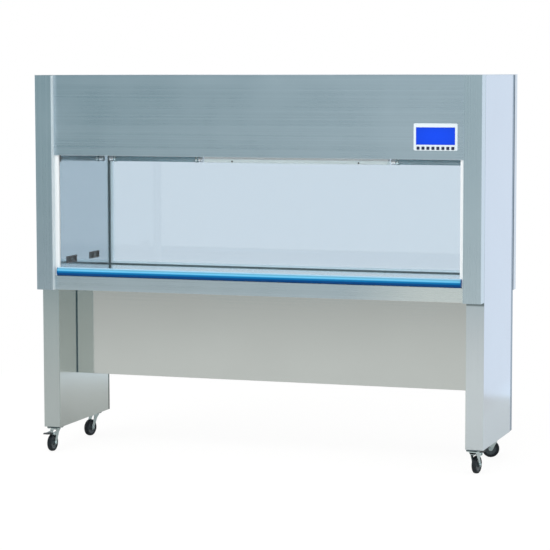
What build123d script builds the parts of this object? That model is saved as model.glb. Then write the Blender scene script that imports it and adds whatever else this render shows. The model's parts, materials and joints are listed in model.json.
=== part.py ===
from build123d import *
import os
from math import cos, sin, radians

# Laminar flow clean bench, vertical flow, standing on four castors.
# Millimetres, +Z up, front towards -Y, origin on the floor under the middle of the cabinet.
# Pieces are drawn with x = 0 on the centre plane and y = 0 on the posts' front faces, or on the
# header's front face where save() sets them back by FACE_SET_BACK. save() also moves every piece
# forward by half the cabinet's depth.

# ---- overall sizes ------------------------------------------------------------------------------
WIDTH = 1980.0            # over the side panels
HEIGHT = 1650.0           # floor to top cover
DEPTH = 660.0             # front face to rear panel
SHEET = 1.5               # folded stainless sheet
GAP = 0.3                 # seat clearance between neighbouring pieces
FLANGE = 18.0             # usual folded return

# ---- levels above the floor ---------------------------------------------------------------------
LEG_BOTTOM = 105.0                    # underside of the legs, top of the castor plates
WORK_LEVEL = 780.0                    # work surface and top of the sill rail
RAIL_HEIGHT = 61.0
RAIL_BOTTOM = WORK_LEVEL - RAIL_HEIGHT
OPENING = 524.0                       # worktop to the header's lower edge
HEAD_LEVEL = WORK_LEVEL + OPENING
PANEL_BOTTOM = WORK_LEVEL - 456.0     # lower edge of the modesty panel

# ---- front frame --------------------------------------------------------------------------------
FRAME_DEPTH = 61.0
POST_WIDTH = 77.0
FACE_SET_BACK = 25.0                  # header, sash and rail stand behind the posts' front faces
FACE_DEPTH = FRAME_DEPTH - FACE_SET_BACK       # room for the guides and the rail behind that face
POST_RADIUS = 2.5
SIDE = WIDTH / 2                      # outer face of a side panel
INNER = SIDE - POST_WIDTH             # inner face of post, leg and chamber wall
HEADER_RETURN = 9.0                   # fold under the header, stops short of the sash
REAR_POST_Y = DEPTH - 93.0            # where the side skin ends and the rear post shows
REAR_POST_END = DEPTH - 45.0
REAR_POST_INSET = 3.0
REAR_POST_WALL = 2.0

# ---- work chamber -------------------------------------------------------------------------------
WINDOW_Y = DEPTH - 26.0               # chamber face of the rear glass
WINDOW_THICK = 5.0
GASKET_FACE = 4.5                     # gasket width seen from the chamber
GASKET_GRIP = 2.5                     # how far the glass sits into the gasket
GASKET_LIP = 3.0                      # rubber before and behind the glass
REVEAL = 12.0                         # step from gasket edge to the rear panel's cut-out
BEAM_WIDTH = 50.0
BEAM_HEIGHT = 30.0
BEAM_WALL = 2.0
MODESTY_Y = DEPTH / 2 - 80.0
BEAM_Y = (MODESTY_Y + 3.0, DEPTH - 180.0)

# ---- sash ---------------------------------------------------------------------------------------
GLASS_THICK = 5.0
GLASS_Y = 12.5                        # front face of the glass behind the header's face
GLASS_TOP = HEAD_LEVEL + 18.0
SASH_RUN = 0.5                        # running gap each side of the glass
GUIDE_PROUD = 19.0                    # guide stands this far out of the chamber wall
GUIDE_FRONT = 4.0
GUIDE_WEB = 2.0                       # plastic left beside and behind the sash groove
HANDLE_HEIGHT = 36.6
HANDLE_FRONT = -10.0                  # the grip stands out before the header's face
HANDLE_RADIUS = 15.0
HANDLE_WALL = 2.2
HANDLE_END_GAP = 13.0                 # handle end to chamber wall
HANDLE_CLEAR = 1.0                    # running gap where the handle is cut back round a guide
HANDLE_LIP = 16.0                     # height of the lip behind the glass
SWITCH = (8.0, 18.0, 29.0)

# ---- air path -----------------------------------------------------------------------------------
HEPA_HEIGHT = 69.0
HEPA_WALL = 15.0
PLEAT_PITCH = 36.0
PLEAT_THICK = 1.6
DIFFUSER_RISE = 6.0                   # diffuser tray depth
SLOT_LENGTH_SHARE = 0.8               # of the slot pitch along the ceiling
SLOT_WIDTH = 9.0
SLOT_COUNT = (10, 6)
PLENUM_HEIGHT = 57.0
FAN_RADIUS = 65.0
FAN_WIDTH = 90.0
FAN_BLADES = 18
FAN_RING = 3.0
BLADE_DEPTH = 13.0
BLADE_THICK = 1.6
SHAFT_RADIUS = 5.0
SHAFT_FIT = 0.05                      # radial running clearance
SCROLL_START = FAN_RADIUS + 8.0       # spiral radius where it leaves the cut-off
SCROLL_GROWTH = 30.0                  # how much the spiral opens in one turn
SCROLL_START_ANGLE = 250.0
SCROLL_TURN = 290.0                   # ends level with the shaft, heading straight down
SCROLL_WALL = 2.0
FAN_CENTRE_RISE = SCROLL_START + SCROLL_GROWTH * 0.5 + 8.0     # shaft above the plenum box
MOTOR_RADIUS = 44.0
MOTOR_LENGTH = 84.0
PREFILTER_X = 0.57 * INNER            # middle of an air intake
PREFILTER = (0.48 * INNER, DEPTH - 340.0, 20.0)
PREFILTER_PITCH = 20.0
GRILLE_SLOTS = 13
GRILLE_SLOT = (0.4 * INNER, 9.0)

# ---- lamps --------------------------------------------------------------------------------------
LAMP_Z = HEAD_LEVEL - 37.0
TUBE_RADIUS = 13.0
TUBE_INNER_END = INNER * 0.483
TUBE_OUTER_END = INNER - 14.0
CLIP_WIDTH = 9.0
CLIP_WALL = 2.0
CLIP_IN = 30.0                        # clip from the tube's end
LIGHT_HALF = INNER * 0.47
LIGHT_WIDTH = 40.0
LIGHT_COVER = 16.0                    # height of the opal cover

# ---- controls and sockets -----------------------------------------------------------------------
PANEL_X = INNER - 122.5
PANEL_Z = HEAD_LEVEL + 92.3
BEZEL = (185.0, 111.4)
BEZEL_PROUD = 4.0
BEZEL_RADIUS = 6.0
BEZEL_SEAT = 4.0                      # width of bezel that rests on the header skin
SCREEN = (164.0, 71.0)
SCREEN_Z = PANEL_Z + 4.2
SCREEN_RECESS = 1.0
BUTTON_COUNT = 8
BUTTON_PITCH = 20.9
BUTTON_Z = PANEL_Z - 45.3
BUTTON = 12.0                         # side of a square button
BUTTON_RADIUS = 1.5
BUTTON_PROUD = 2.2
BUTTON_TRAVEL = 1.2
CONTROL_DEPTH = 8.0                   # control box behind the header skin
CONTROL_INSET = 1.0                   # control box inside the bezel's outline
OUTLET = (106.0, 31.0)
OUTLET_Y = (0.308 * DEPTH, 0.688 * DEPTH)
OUTLET_Z = WORK_LEVEL + 58.0
OUTLET_PROUD = 2.5
OUTLET_BODY = 30.0
INLET_X = INNER - 271.0
INLET_Z = HEAD_LEVEL + 196.0
INLET = (50.0, 30.0)

# ---- castors ------------------------------------------------------------------------------------
CASTOR_X = SIDE - POST_WIDTH + 34.0      # plates stay under the legs' inner faces
CASTOR_FRONT = 83.0
CASTOR_REAR = DEPTH - 150.0
WHEEL_RADIUS = 37.5
WHEEL_WIDTH = 24.0
HUB_RADIUS = 11.0
HUB_PROUD = 2.0
TRAIL = 28.0
PLATE = 58.0
PLATE_THICK = 3.0
FORK_WALL = 2.5
FORK_SIDE_GAP = 1.2
AXLE_RADIUS = 4.0
KING_RADIUS = 6.0
PEDAL_PIVOT = (TRAIL + 18.0, 2 * WHEEL_RADIUS + 5.0)     # behind the swivel axis, above the floor
PEDAL_REACH = PEDAL_PIVOT[0] + 51.0
PEDAL_WIDTH = 22.0
LEG_BASE = 4.0
# turn of each castor about its swivel axis, and whether it has a brake pedal
CASTORS = {
    "front_left": (-CASTOR_X, CASTOR_FRONT, 177.0, True),
    "front_right": (CASTOR_X, CASTOR_FRONT, -9.0, True),
    "rear_left": (-CASTOR_X, CASTOR_REAR, 166.0, False),
    "rear_right": (CASTOR_X, CASTOR_REAR, 103.0, False),
}

# ---- places that several pieces share -----------------------------------------------------------
TOP_UNDER = HEIGHT - SHEET                    # underside of the top cover
SHELL_TOP = TOP_UNDER - GAP                   # top edge of everything under the cover
SIDE_FRONT = FRAME_DEPTH + GAP                # front of the side panels and legs
POCKET_Y = SIDE_FRONT + SHEET + GAP           # front of the plate behind the sash pocket
PLENUM_FRONT = POCKET_Y + SHEET + GAP
FRAME_BACK = WINDOW_Y + WINDOW_THICK + GASKET_LIP + GAP   # rear of the gasket
WINDOW_TOP = HEAD_LEVEL - GAP
LAMP_Y = WINDOW_Y - GASKET_LIP - GAP - LIGHT_WIDTH / 2    # lamps hang just before the window
HEPA_BOTTOM = HEAD_LEVEL + GAP + DIFFUSER_RISE + GAP
PLENUM_BOTTOM = HEPA_BOTTOM + HEPA_HEIGHT + GAP
PLENUM_TOP = PLENUM_BOTTOM + PLENUM_HEIGHT
FAN_Z = PLENUM_TOP + GAP + FAN_CENTRE_RISE
FAN_Y = (PLENUM_FRONT + FRAME_BACK) / 2
HOUSING_HALF = FAN_WIDTH / 2 + 6.0
GLASS_BACK = GLASS_Y + GLASS_THICK
GUIDE_BACK = GLASS_BACK + SASH_RUN + GUIDE_WEB
HANDLE_BOTTOM = WORK_LEVEL + GAP
GLASS_BOTTOM = HANDLE_BOTTOM + HANDLE_WALL
BUTTON_X = [PANEL_X + BUTTON_PITCH * (i - (BUTTON_COUNT - 1) / 2) for i in range(BUTTON_COUNT)]

os.makedirs("parts", exist_ok=True)


# ---- drawing helpers ----------------------------------------------------------------------------
def block(x0, x1, y0, y1, z0, z1):
    """Rectangular solid between two corners."""
    solid = Box(x1 - x0, y1 - y0, z1 - z0)
    return Pos((x0 + x1) / 2, (y0 + y1) / 2, (z0 + z1) / 2) * solid


def sheet_outline(path, thick):
    """Closed outline of a folded sheet: path is its outer face, thickness lies to the left."""
    steps = [Vector(*b) - Vector(*a) for a, b in zip(path, path[1:])]
    sides = [Vector(-s.Y, s.X).normalized() for s in steps]
    inner = []
    for i, point in enumerate(path):
        before, after = sides[max(i - 1, 0)], sides[min(i, len(sides) - 1)]
        share = 1 + before.dot(after) if 0 < i < len(path) - 1 else 2
        inner.append(Vector(*point) + (before + after) * (thick / share))
    return make_face(Polyline(*[Vector(*p) for p in path], *reversed(inner), close=True))


def folded_upright(path, z0, z1, thick=SHEET):
    """Folded sheet with its section in plan (x, y)."""
    return extrude(Plane.XY.offset(z0) * sheet_outline(path, thick), z1 - z0)


def folded_across(path, x0, x1, thick=SHEET):
    """Folded sheet with its section seen from the side (y, z), running along x."""
    return extrude(Plane.YZ.offset(x0) * sheet_outline(path, thick), x1 - x0)


def run_across(face, x0, x1):
    """Any section drawn in (y, z), run along x."""
    return extrude(Plane.YZ.offset(x0) * face, x1 - x0)


def mirrored(part):
    return mirror(part, about=Plane.YZ)


def save(part, name, set_back=0.0):
    """Move the piece into the shared frame and write it."""
    placed = Pos(0, set_back - DEPTH / 2, 0) * part
    solids = placed.solids()
    shape = Compound(solids) if len(solids) > 1 else solids[0]
    shape.label = name
    export_step(shape, f"parts/{name}.step")


# ---- sides and legs -----------------------------------------------------------------------------
def side_panel():
    """Outer skin from the leg's foot to the top: the front return is the leg's front face."""
    path = [(INNER + SHEET + GAP, SIDE_FRONT), (SIDE, SIDE_FRONT), (SIDE, REAR_POST_Y),
            (SIDE - 2 * FLANGE, REAR_POST_Y)]
    skin = folded_upright(path, LEG_BOTTOM, SHELL_TOP)
    bends = skin.edges().filter_by(Axis.Z).group_by(Axis.X)[-1]
    return fillet(bends, SHEET * 0.9)


def leg_cover():
    """Inner face of the leg, lipped behind the side panel's front return."""
    front = SIDE_FRONT + SHEET + GAP
    path = [(INNER + FLANGE, front), (INNER, front), (INNER, REAR_POST_END - GAP)]
    return folded_upright([(x, y) for x, y in path], LEG_BOTTOM, RAIL_BOTTOM - GAP, -SHEET)


def leg_base():
    """Thick plate that closes the leg's foot and takes the castor plates."""
    x0, x1 = INNER + SHEET + GAP, SIDE - SHEET - GAP
    y0, y1 = SIDE_FRONT + 2 * (SHEET + GAP), REAR_POST_Y - SHEET - GAP
    return block(x0, x1, y0, y1, LEG_BOTTOM, LEG_BOTTOM + LEG_BASE)


def rear_post():
    """Rectangular tube at the rear corner, set in from the side skin."""
    x0, x1 = INNER + SHEET + GAP, SIDE - REAR_POST_INSET
    y0, y1 = REAR_POST_Y + GAP, REAR_POST_END
    mid = Pos((x0 + x1) / 2, (y0 + y1) / 2)
    outer = mid * RectangleRounded(x1 - x0, y1 - y0, POST_RADIUS)
    inner = mid * Rectangle(x1 - x0 - 2 * REAR_POST_WALL, y1 - y0 - 2 * REAR_POST_WALL)
    return extrude(Plane.XY.offset(LEG_BOTTOM) * (outer - inner), SHELL_TOP - LEG_BOTTOM)


# ---- front frame --------------------------------------------------------------------------------
def front_post():
    """Folded box post, closed at its foot."""
    mid = Pos(INNER + POST_WIDTH / 2, FRAME_DEPTH / 2)
    outer = mid * RectangleRounded(POST_WIDTH, FRAME_DEPTH, POST_RADIUS)
    inner = mid * Rectangle(POST_WIDTH - 2 * SHEET, FRAME_DEPTH - 2 * SHEET)
    post = extrude(Plane.XY.offset(RAIL_BOTTOM) * outer, SHELL_TOP - RAIL_BOTTOM)
    return post - extrude(Plane.XY.offset(RAIL_BOTTOM + SHEET) * inner, HEIGHT)


def header_panel():
    """Front of the header: folded under at the opening, folded back at the top, cut for controls."""
    edge = INNER - GAP
    lip = INNER - GUIDE_PROUD - GAP
    face = block(-edge, edge, 0, SHEET, HEAD_LEVEL, SHELL_TOP)
    under = block(-lip, lip, 0, HEADER_RETURN, HEAD_LEVEL, HEAD_LEVEL + SHEET)
    hem = block(-lip, lip, HEADER_RETURN - SHEET, HEADER_RETURN, HEAD_LEVEL, HEAD_LEVEL + FLANGE / 2)
    crown = block(-edge, edge, 0, GUIDE_FRONT - GAP, SHELL_TOP - SHEET, SHELL_TOP)
    panel = face + under + hem + crown
    panel = fillet(panel.edges().filter_by(Axis.X).filter_by_position(Axis.Y, -0.01, 0.01)
                   .sort_by(Axis.Z)[0], SHEET * 0.9)
    cut = Box(BEZEL[0] - 2 * BEZEL_SEAT, 4 * SHEET, BEZEL[1] - 2 * BEZEL_SEAT)
    return panel - Pos(PANEL_X, 0, PANEL_Z) * cut


def sill_rail():
    """Front rail under the sash, folded channel open to the rear."""
    path = [(FACE_DEPTH, RAIL_BOTTOM + FLANGE), (FACE_DEPTH, RAIL_BOTTOM), (0, RAIL_BOTTOM),
            (0, WORK_LEVEL), (FACE_DEPTH, WORK_LEVEL), (FACE_DEPTH, WORK_LEVEL - FLANGE)]
    rail = folded_across(path, -INNER + GAP, INNER - GAP, -SHEET)
    front = rail.edges().filter_by(Axis.X).filter_by_position(Axis.Y, -0.01, 0.01)
    return fillet(front, SHEET * 0.9)


# ---- chamber ------------------------------------------------------------------------------------
def chamber_wall(with_outlets):
    """Side liner of the chamber and of the air box above it."""
    path = [(INNER + FLANGE, POCKET_Y), (INNER, POCKET_Y), (INNER, FRAME_BACK),
            (INNER + FLANGE, FRAME_BACK)]
    wall = folded_upright(path, RAIL_BOTTOM + SHEET + GAP, SHELL_TOP - SHEET - GAP, -SHEET)
    if with_outlets:
        for y in OUTLET_Y:
            cut = Box(6 * SHEET, OUTLET[0] - 8 + 2 * GAP, OUTLET[1] - 6 + 2 * GAP)
            wall -= Pos(INNER, y, OUTLET_Z) * cut
    return wall


def work_surface():
    """Tray-shaped worktop: folded down on all four sides, flush with the sill rail."""
    x, y0, y1 = INNER - GAP, SIDE_FRONT, FRAME_BACK - GAP
    top = block(-x, x, y0, y1, WORK_LEVEL - FLANGE, WORK_LEVEL)
    inside = block(-x + SHEET, x - SHEET, y0 + SHEET, y1 - SHEET, 0, WORK_LEVEL - SHEET)
    rim = top.edges().group_by(Axis.Z)[-1]
    return fillet(rim, SHEET * 0.9) - inside


def worktop_beam(y):
    """Rectangular tube across the bench under the worktop."""
    top = WORK_LEVEL - SHEET - GAP
    outer = Pos(y + BEAM_WIDTH / 2, top - BEAM_HEIGHT / 2) * RectangleRounded(BEAM_WIDTH, BEAM_HEIGHT, 3)
    inner = Pos(y + BEAM_WIDTH / 2, top - BEAM_HEIGHT / 2) * Rectangle(
        BEAM_WIDTH - 2 * BEAM_WALL, BEAM_HEIGHT - 2 * BEAM_WALL)
    end = INNER - SHEET - 2 * GAP
    return run_across(outer - inner, -end, end)


def modesty_panel():
    """Screen between the legs, hung under the front beam and folded back all round."""
    top = WORK_LEVEL - SHEET - 2 * GAP - BEAM_HEIGHT
    x = INNER - GAP
    tray = block(-x, x, MODESTY_Y, MODESTY_Y + FLANGE, PANEL_BOTTOM, top)
    tray = fillet(tray.edges().filter_by_position(Axis.Y, MODESTY_Y - 0.01, MODESTY_Y + 0.01), SHEET)
    return tray - block(-x + SHEET, x - SHEET, MODESTY_Y + SHEET, DEPTH, PANEL_BOTTOM + SHEET, top - SHEET)


def ring_y(half_x, z0, z1, y0, y1, inner_half_x, iz0, iz1):
    """Rectangular ring standing across the bench."""
    return block(-half_x, half_x, y0, y1, z0, z1) - block(
        -inner_half_x, inner_half_x, y0 - 1, y1 + 1, iz0, iz1)


def window_gasket():
    """Rubber frame with a groove for the rear glass."""
    half, z0, z1 = INNER - GAP, WORK_LEVEL + GAP, WINDOW_TOP
    y0, y1 = WINDOW_Y - GASKET_LIP, WINDOW_Y + WINDOW_THICK + GASKET_LIP
    ring = ring_y(half, z0, z1, y0, y1, half - GASKET_FACE, z0 + GASKET_FACE, z1 - GASKET_FACE)
    grip = GASKET_FACE - GASKET_GRIP
    return ring - block(-half + grip, half - grip, WINDOW_Y, WINDOW_Y + WINDOW_THICK, z0 + grip, z1 - grip)


def rear_window():
    """Fixed glass at the back of the chamber."""
    half = INNER - GAP - (GASKET_FACE - GASKET_GRIP)
    rise = GAP + GASKET_FACE - GASKET_GRIP
    return block(-half, half, WINDOW_Y, WINDOW_Y + WINDOW_THICK, WORK_LEVEL + rise,
                 WINDOW_TOP - GASKET_FACE + GASKET_GRIP)


def rear_panel():
    """Back of the cabinet: a tray with folded sides and a lined cut-out for the window."""
    half = SIDE - 1.0
    outer = block(-half, half, REAR_POST_END + GAP, DEPTH, RAIL_BOTTOM, SHELL_TOP)
    bends = outer.edges().filter_by(Axis.Z).group_by(Axis.Y)[-1]
    outer = fillet(bends, SHEET * 0.9)
    hollow = block(-half + SHEET, half - SHEET, 0, DEPTH - SHEET, RAIL_BOTTOM + SHEET, SHELL_TOP - SHEET)
    cut = INNER - REVEAL
    z0, z1 = WORK_LEVEL + REVEAL, WINDOW_TOP - REVEAL
    lining = ring_y(cut, z0, z1, FRAME_BACK, DEPTH, cut - SHEET, z0 + SHEET, z1 - SHEET)
    opening = block(-cut + SHEET, cut - SHEET, 0, DEPTH + 1, z0 + SHEET, z1 - SHEET)
    panel = outer - hollow + lining - opening
    inlet = Box(INLET[0] - 6 + 2 * GAP, 6 * SHEET, INLET[1] - 6 + 2 * GAP)
    return panel - Pos(INLET_X, DEPTH, INLET_Z) * inlet


# ---- sash ---------------------------------------------------------------------------------------
def sash_guide():
    """White plastic guide with the groove that the glass runs in."""
    lip = INNER - GUIDE_PROUD
    z0, z1 = WORK_LEVEL + GAP, SHELL_TOP
    bar = block(lip, INNER - GAP, GUIDE_FRONT, GUIDE_BACK, z0, z1)
    bar = fillet(bar.edges().filter_by(Axis.Z).group_by(Axis.X)[0], 1.5)
    return bar - block(lip - 1, INNER - GAP - GUIDE_WEB, GLASS_Y - SASH_RUN, GLASS_BACK + SASH_RUN,
                       0, HEIGHT)


def sash_glass():
    """Front sash."""
    edge = INNER - GAP - GUIDE_WEB - 1.0
    glass = block(-edge, edge, GLASS_Y, GLASS_BACK, GLASS_BOTTOM, GLASS_TOP)
    return chamfer(glass.edges().filter_by(Axis.X), 0.6)


def sash_handle():
    """Full-width extruded grip that wraps the lower edge of the glass."""
    z0, z1 = HANDLE_BOTTOM, HANDLE_BOTTOM + HANDLE_HEIGHT
    back = GLASS_BACK + HANDLE_WALL
    outer = Pos((HANDLE_FRONT + back) / 2, (z0 + z1) / 2) * Rectangle(back - HANDLE_FRONT, z1 - z0)
    outer = fillet(outer.vertices().group_by(Axis.X)[0], HANDLE_RADIUS)
    slot = Pos((GLASS_Y + GLASS_BACK) / 2, GLASS_BOTTOM + HEIGHT / 2) * Rectangle(GLASS_THICK, HEIGHT)
    behind = Pos(GLASS_BACK + HEIGHT / 2, z0 + HANDLE_LIP + HEIGHT / 2) * Rectangle(HEIGHT, HEIGHT)
    y0, y1 = HANDLE_FRONT + HANDLE_WALL, GLASS_Y - HANDLE_WALL
    hollow = Pos((y0 + y1) / 2, (z0 + z1) / 2) * Rectangle(y1 - y0, z1 - z0 - 2 * HANDLE_WALL)
    hollow = fillet(hollow.vertices().group_by(Axis.X)[0], min(HANDLE_RADIUS - HANDLE_WALL, 0.9 * (y1 - y0)))
    end = INNER - HANDLE_END_GAP
    handle = run_across(outer - slot - behind - hollow, -end, end)
    clear_x, clear_y = INNER - GUIDE_PROUD - HANDLE_CLEAR, GUIDE_FRONT - HANDLE_CLEAR
    return handle - block(clear_x, INNER, clear_y, DEPTH, 0, HEIGHT) - block(
        -INNER, -clear_x, clear_y, DEPTH, 0, HEIGHT)


def limit_switch():
    """Black switch block at the top of the left guide."""
    x0 = -INNER + GAP
    y0 = POCKET_Y + 2.0
    z1 = HEAD_LEVEL - 2.0
    body = block(x0, x0 + SWITCH[0], y0, y0 + SWITCH[1], z1 - SWITCH[2], z1)
    body = fillet(body.edges().group_by(Axis.X)[-1], 1.0)
    roller = Pos(x0 + SWITCH[0] - 1, y0 + SWITCH[1] + 3, z1 - SWITCH[2] / 2) * Rot(0, 90, 0) * Cylinder(4, 4)
    arm = block(x0 + SWITCH[0] - 3, x0 + SWITCH[0] - 1, y0 + SWITCH[1] - 4, y0 + SWITCH[1] + 3,
                z1 - SWITCH[2] / 2 - 2, z1 - SWITCH[2] / 2 + 2)
    return body + arm + roller


# ---- air path -----------------------------------------------------------------------------------
def top_cover():
    """Lid with two slotted air intakes and a folded rim inside the walls."""
    lid = block(-SIDE, SIDE, 0, DEPTH, TOP_UNDER, HEIGHT)
    lid -= block(-INNER, INNER, -1, FACE_SET_BACK, 0, 2 * HEIGHT)
    mid_y = (PLENUM_FRONT + FRAME_BACK) / 2
    pitch = (PREFILTER[1] - 2 * FLANGE) / (GRILLE_SLOTS - 1)
    for side in (-1, 1):
        slots = Sketch() + [
            Pos(side * PREFILTER_X, mid_y + pitch * (i - (GRILLE_SLOTS - 1) / 2))
            * Rectangle(*GRILLE_SLOT) for i in range(GRILLE_SLOTS)]
        lid -= extrude(Plane.XY.offset(TOP_UNDER - 1) * slots, SHEET + 2)
    return lid


def prefilter(side):
    """Pleated coarse filter pad under an intake."""
    count = int(PREFILTER[0] / PREFILTER_PITCH)
    x0 = side * PREFILTER_X - count * PREFILTER_PITCH / 2
    z1, z0 = SHELL_TOP, SHELL_TOP - PREFILTER[2]
    high = [(x0 + PREFILTER_PITCH * i / 2, z1 if i % 2 == 0 else z0 + 5) for i in range(2 * count + 1)]
    low = [(x, z - 5 if z > z0 + 6 else z0) for x, z in high]
    zigzag = make_face(Polyline(*high, *reversed(low), close=True))
    y = (PLENUM_FRONT + FRAME_BACK) / 2
    pad = extrude(Plane.XZ.offset(-(y - PREFILTER[1] / 2)) * zigzag, -PREFILTER[1])
    rims = [block(x0 + dx, x0 + dx + 6, y - PREFILTER[1] / 2 - 6, y + PREFILTER[1] / 2 + 6, z0, z1)
            for dx in (-6, count * PREFILTER_PITCH)]
    ends = [block(x0 - 6, x0 + count * PREFILTER_PITCH + 6, ya, ya + 6, z0, z1)
            for ya in (y - PREFILTER[1] / 2 - 6, y + PREFILTER[1] / 2)]
    return pad + rims[0] + rims[1] + ends[0] + ends[1]


def air_diffuser():
    """Slotted ceiling of the chamber, a shallow tray under the main filter."""
    x, y0, y1 = INNER - GAP, PLENUM_FRONT, FRAME_BACK - GAP
    z0 = HEAD_LEVEL + GAP
    tray = block(-x, x, y0, y1, z0, z0 + DIFFUSER_RISE)
    tray -= block(-x + SHEET, x - SHEET, y0 + SHEET, y1 - SHEET, z0 + SHEET, HEIGHT)
    step_x = (2 * x - 60) / SLOT_COUNT[0]
    step_y = (y1 - y0 - 60) / SLOT_COUNT[1]
    slots = GridLocations(step_x, step_y, *SLOT_COUNT) * Rectangle(SLOT_LENGTH_SHARE * step_x, SLOT_WIDTH)
    field = Plane.XY.offset(z0 - 1) * Pos(0, (y0 + y1) / 2) * (Sketch() + slots)
    return tray - extrude(field, SHEET + 2)


def hepa_frame():
    """Frame of the main filter."""
    x, y0, y1 = INNER - GAP, PLENUM_FRONT, FRAME_BACK - GAP
    z0, z1 = HEPA_BOTTOM, HEPA_BOTTOM + HEPA_HEIGHT
    return block(-x, x, y0, y1, z0, z1) - block(
        -x + HEPA_WALL, x - HEPA_WALL, y0 + HEPA_WALL, y1 - HEPA_WALL, 0, HEIGHT)


def hepa_media():
    """Pleated sheet of the main filter, one folded web from end to end."""
    half = INNER - GAP - HEPA_WALL - GAP
    count = int(2 * half / PLEAT_PITCH)
    pitch = 2 * half / count
    z0, z1 = HEPA_BOTTOM + 4, HEPA_BOTTOM + HEPA_HEIGHT - 4
    high = [(-half + pitch * i / 2, z1 if i % 2 == 0 else z0 + 3 * PLEAT_THICK) for i in range(2 * count + 1)]
    low = [(x, z - 3 * PLEAT_THICK) for x, z in high]
    web = make_face(Polyline(*high, *reversed(low), close=True))
    y0, y1 = PLENUM_FRONT + HEPA_WALL + GAP, FRAME_BACK - GAP - HEPA_WALL - GAP
    return extrude(Plane.XZ.offset(-y0) * web, -(y1 - y0))


def plenum_box():
    """Pressure box over the main filter, open below, with the blower's outlet cut in its top."""
    x, y0, y1 = INNER - GAP, PLENUM_FRONT, FRAME_BACK - GAP
    box = block(-x, x, y0, y1, PLENUM_BOTTOM, PLENUM_TOP)
    box -= block(-x + SHEET, x - SHEET, y0 + SHEET, y1 - SHEET, 0, PLENUM_TOP - SHEET)
    front, rear = outlet_walls(SCROLL_WALL)
    return box - block(-HOUSING_HALF + SCROLL_WALL, HOUSING_HALF - SCROLL_WALL, front, rear, 0, HEIGHT)


def pocket_plate():
    """Plate between the sash pocket and the air box."""
    x = INNER - GAP
    return block(-x, x, POCKET_Y, POCKET_Y + SHEET, HEAD_LEVEL, SHELL_TOP)


def scroll_radius(turned, inset=0.0):
    """Radius of the spiral after so many degrees."""
    return SCROLL_START + SCROLL_GROWTH * turned / 360.0 - inset


def scroll_point(turned, inset=0.0):
    """Point of the spiral in (y, z)."""
    angle = radians(SCROLL_START_ANGLE + turned)
    r = scroll_radius(turned, inset)
    return FAN_Y + r * cos(angle), FAN_Z + r * sin(angle)


def outlet_walls(inset):
    """y of the outlet's front and rear walls."""
    return FAN_Y - scroll_radius(SCROLL_TURN, inset), scroll_point(0)[0] - inset


def volute(inset, bottom):
    """Spiral casing section with its outlet going straight down."""
    spiral = [scroll_point(SCROLL_TURN * k / 12, inset) for k in range(13)]
    front, rear = outlet_walls(inset)
    arcs = [ThreePointArc(Vector(*spiral[k]), Vector(*spiral[k + 1]), Vector(*spiral[k + 2]))
            for k in range(0, 12, 2)]
    duct = Polyline(Vector(*spiral[-1]), Vector(front, bottom), Vector(rear, bottom),
                    Vector(rear, spiral[0][1]))
    corner = [] if inset == 0 else [Line(Vector(rear, spiral[0][1]), Vector(*spiral[0]))]
    return make_face([*arcs, *duct.edges(), *corner])


def blower_housing():
    """Volute casing: spiral wall, two cheeks, inlet ring on the left, outlet flange below."""
    base = PLENUM_TOP + GAP
    cheek = HOUSING_HALF - SCROLL_WALL
    front, rear = outlet_walls(0)
    casing = run_across(volute(0, base), -HOUSING_HALF, HOUSING_HALF)
    foot = block(-HOUSING_HALF - 12, HOUSING_HALF + 12, front - 12, rear + 12, base, base + SCROLL_WALL)
    ring = Pos(-HOUSING_HALF, FAN_Y, FAN_Z) * Rot(0, 90, 0) * Cylinder(FAN_RADIUS - BLADE_DEPTH + 4, 8)
    casing = casing + foot + ring - run_across(volute(SCROLL_WALL, base - 1), -cheek, cheek)
    inlet = Pos(-HOUSING_HALF, FAN_Y, FAN_Z) * Rot(0, 90, 0) * Cylinder(FAN_RADIUS - BLADE_DEPTH, 20)
    shaft_hole = Pos(HOUSING_HALF, FAN_Y, FAN_Z) * Rot(0, 90, 0) * Cylinder(3 * SHAFT_RADIUS, 20)
    return casing - inlet - shaft_hole


def blower_blade():
    """Section of one forward-curved blade, drawn about the shaft."""
    r_in, r_out = FAN_RADIUS - BLADE_DEPTH, FAN_RADIUS - 0.4
    outer, inner = [], []
    for share in (0.0, 0.5, 1.0):
        r = r_in + (r_out - r_in) * share
        bend = radians(-13.0 * share + 22.0 * share * share)
        outer.append((r * cos(bend), r * sin(bend)))
        turn = bend + BLADE_THICK / r
        inner.append((r * cos(turn), r * sin(turn)))
    return make_face(Polyline(*outer, *reversed(inner), close=True))


def blower_impeller():
    """Forward-curved fan wheel: back plate with hub, blades, front ring."""
    half = FAN_WIDTH / 2
    blade = blower_blade()
    blades = Sketch() + [Rot(0, 0, 360.0 * k / FAN_BLADES) * blade for k in range(FAN_BLADES)]
    wheel = extrude(Plane.YZ.offset(-half) * blades, FAN_WIDTH)
    plate = Pos(half - FAN_RING / 2, 0, 0) * Rot(0, 90, 0) * Cylinder(FAN_RADIUS, FAN_RING)
    ring = Pos(-half + FAN_RING / 2, 0, 0) * Rot(0, 90, 0) * (
        Cylinder(FAN_RADIUS, FAN_RING) - Cylinder(FAN_RADIUS - BLADE_DEPTH, 2 * FAN_RING))
    hub_length = FAN_WIDTH / 4
    hub = Pos(half - hub_length / 2, 0, 0) * Rot(0, 90, 0) * Cylinder(2.4 * SHAFT_RADIUS, hub_length)
    bore = Rot(0, 90, 0) * Cylinder(SHAFT_RADIUS + SHAFT_FIT, 2 * FAN_WIDTH)
    return Pos(0, FAN_Y, FAN_Z) * (wheel + plate + ring + hub - bore)


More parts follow.
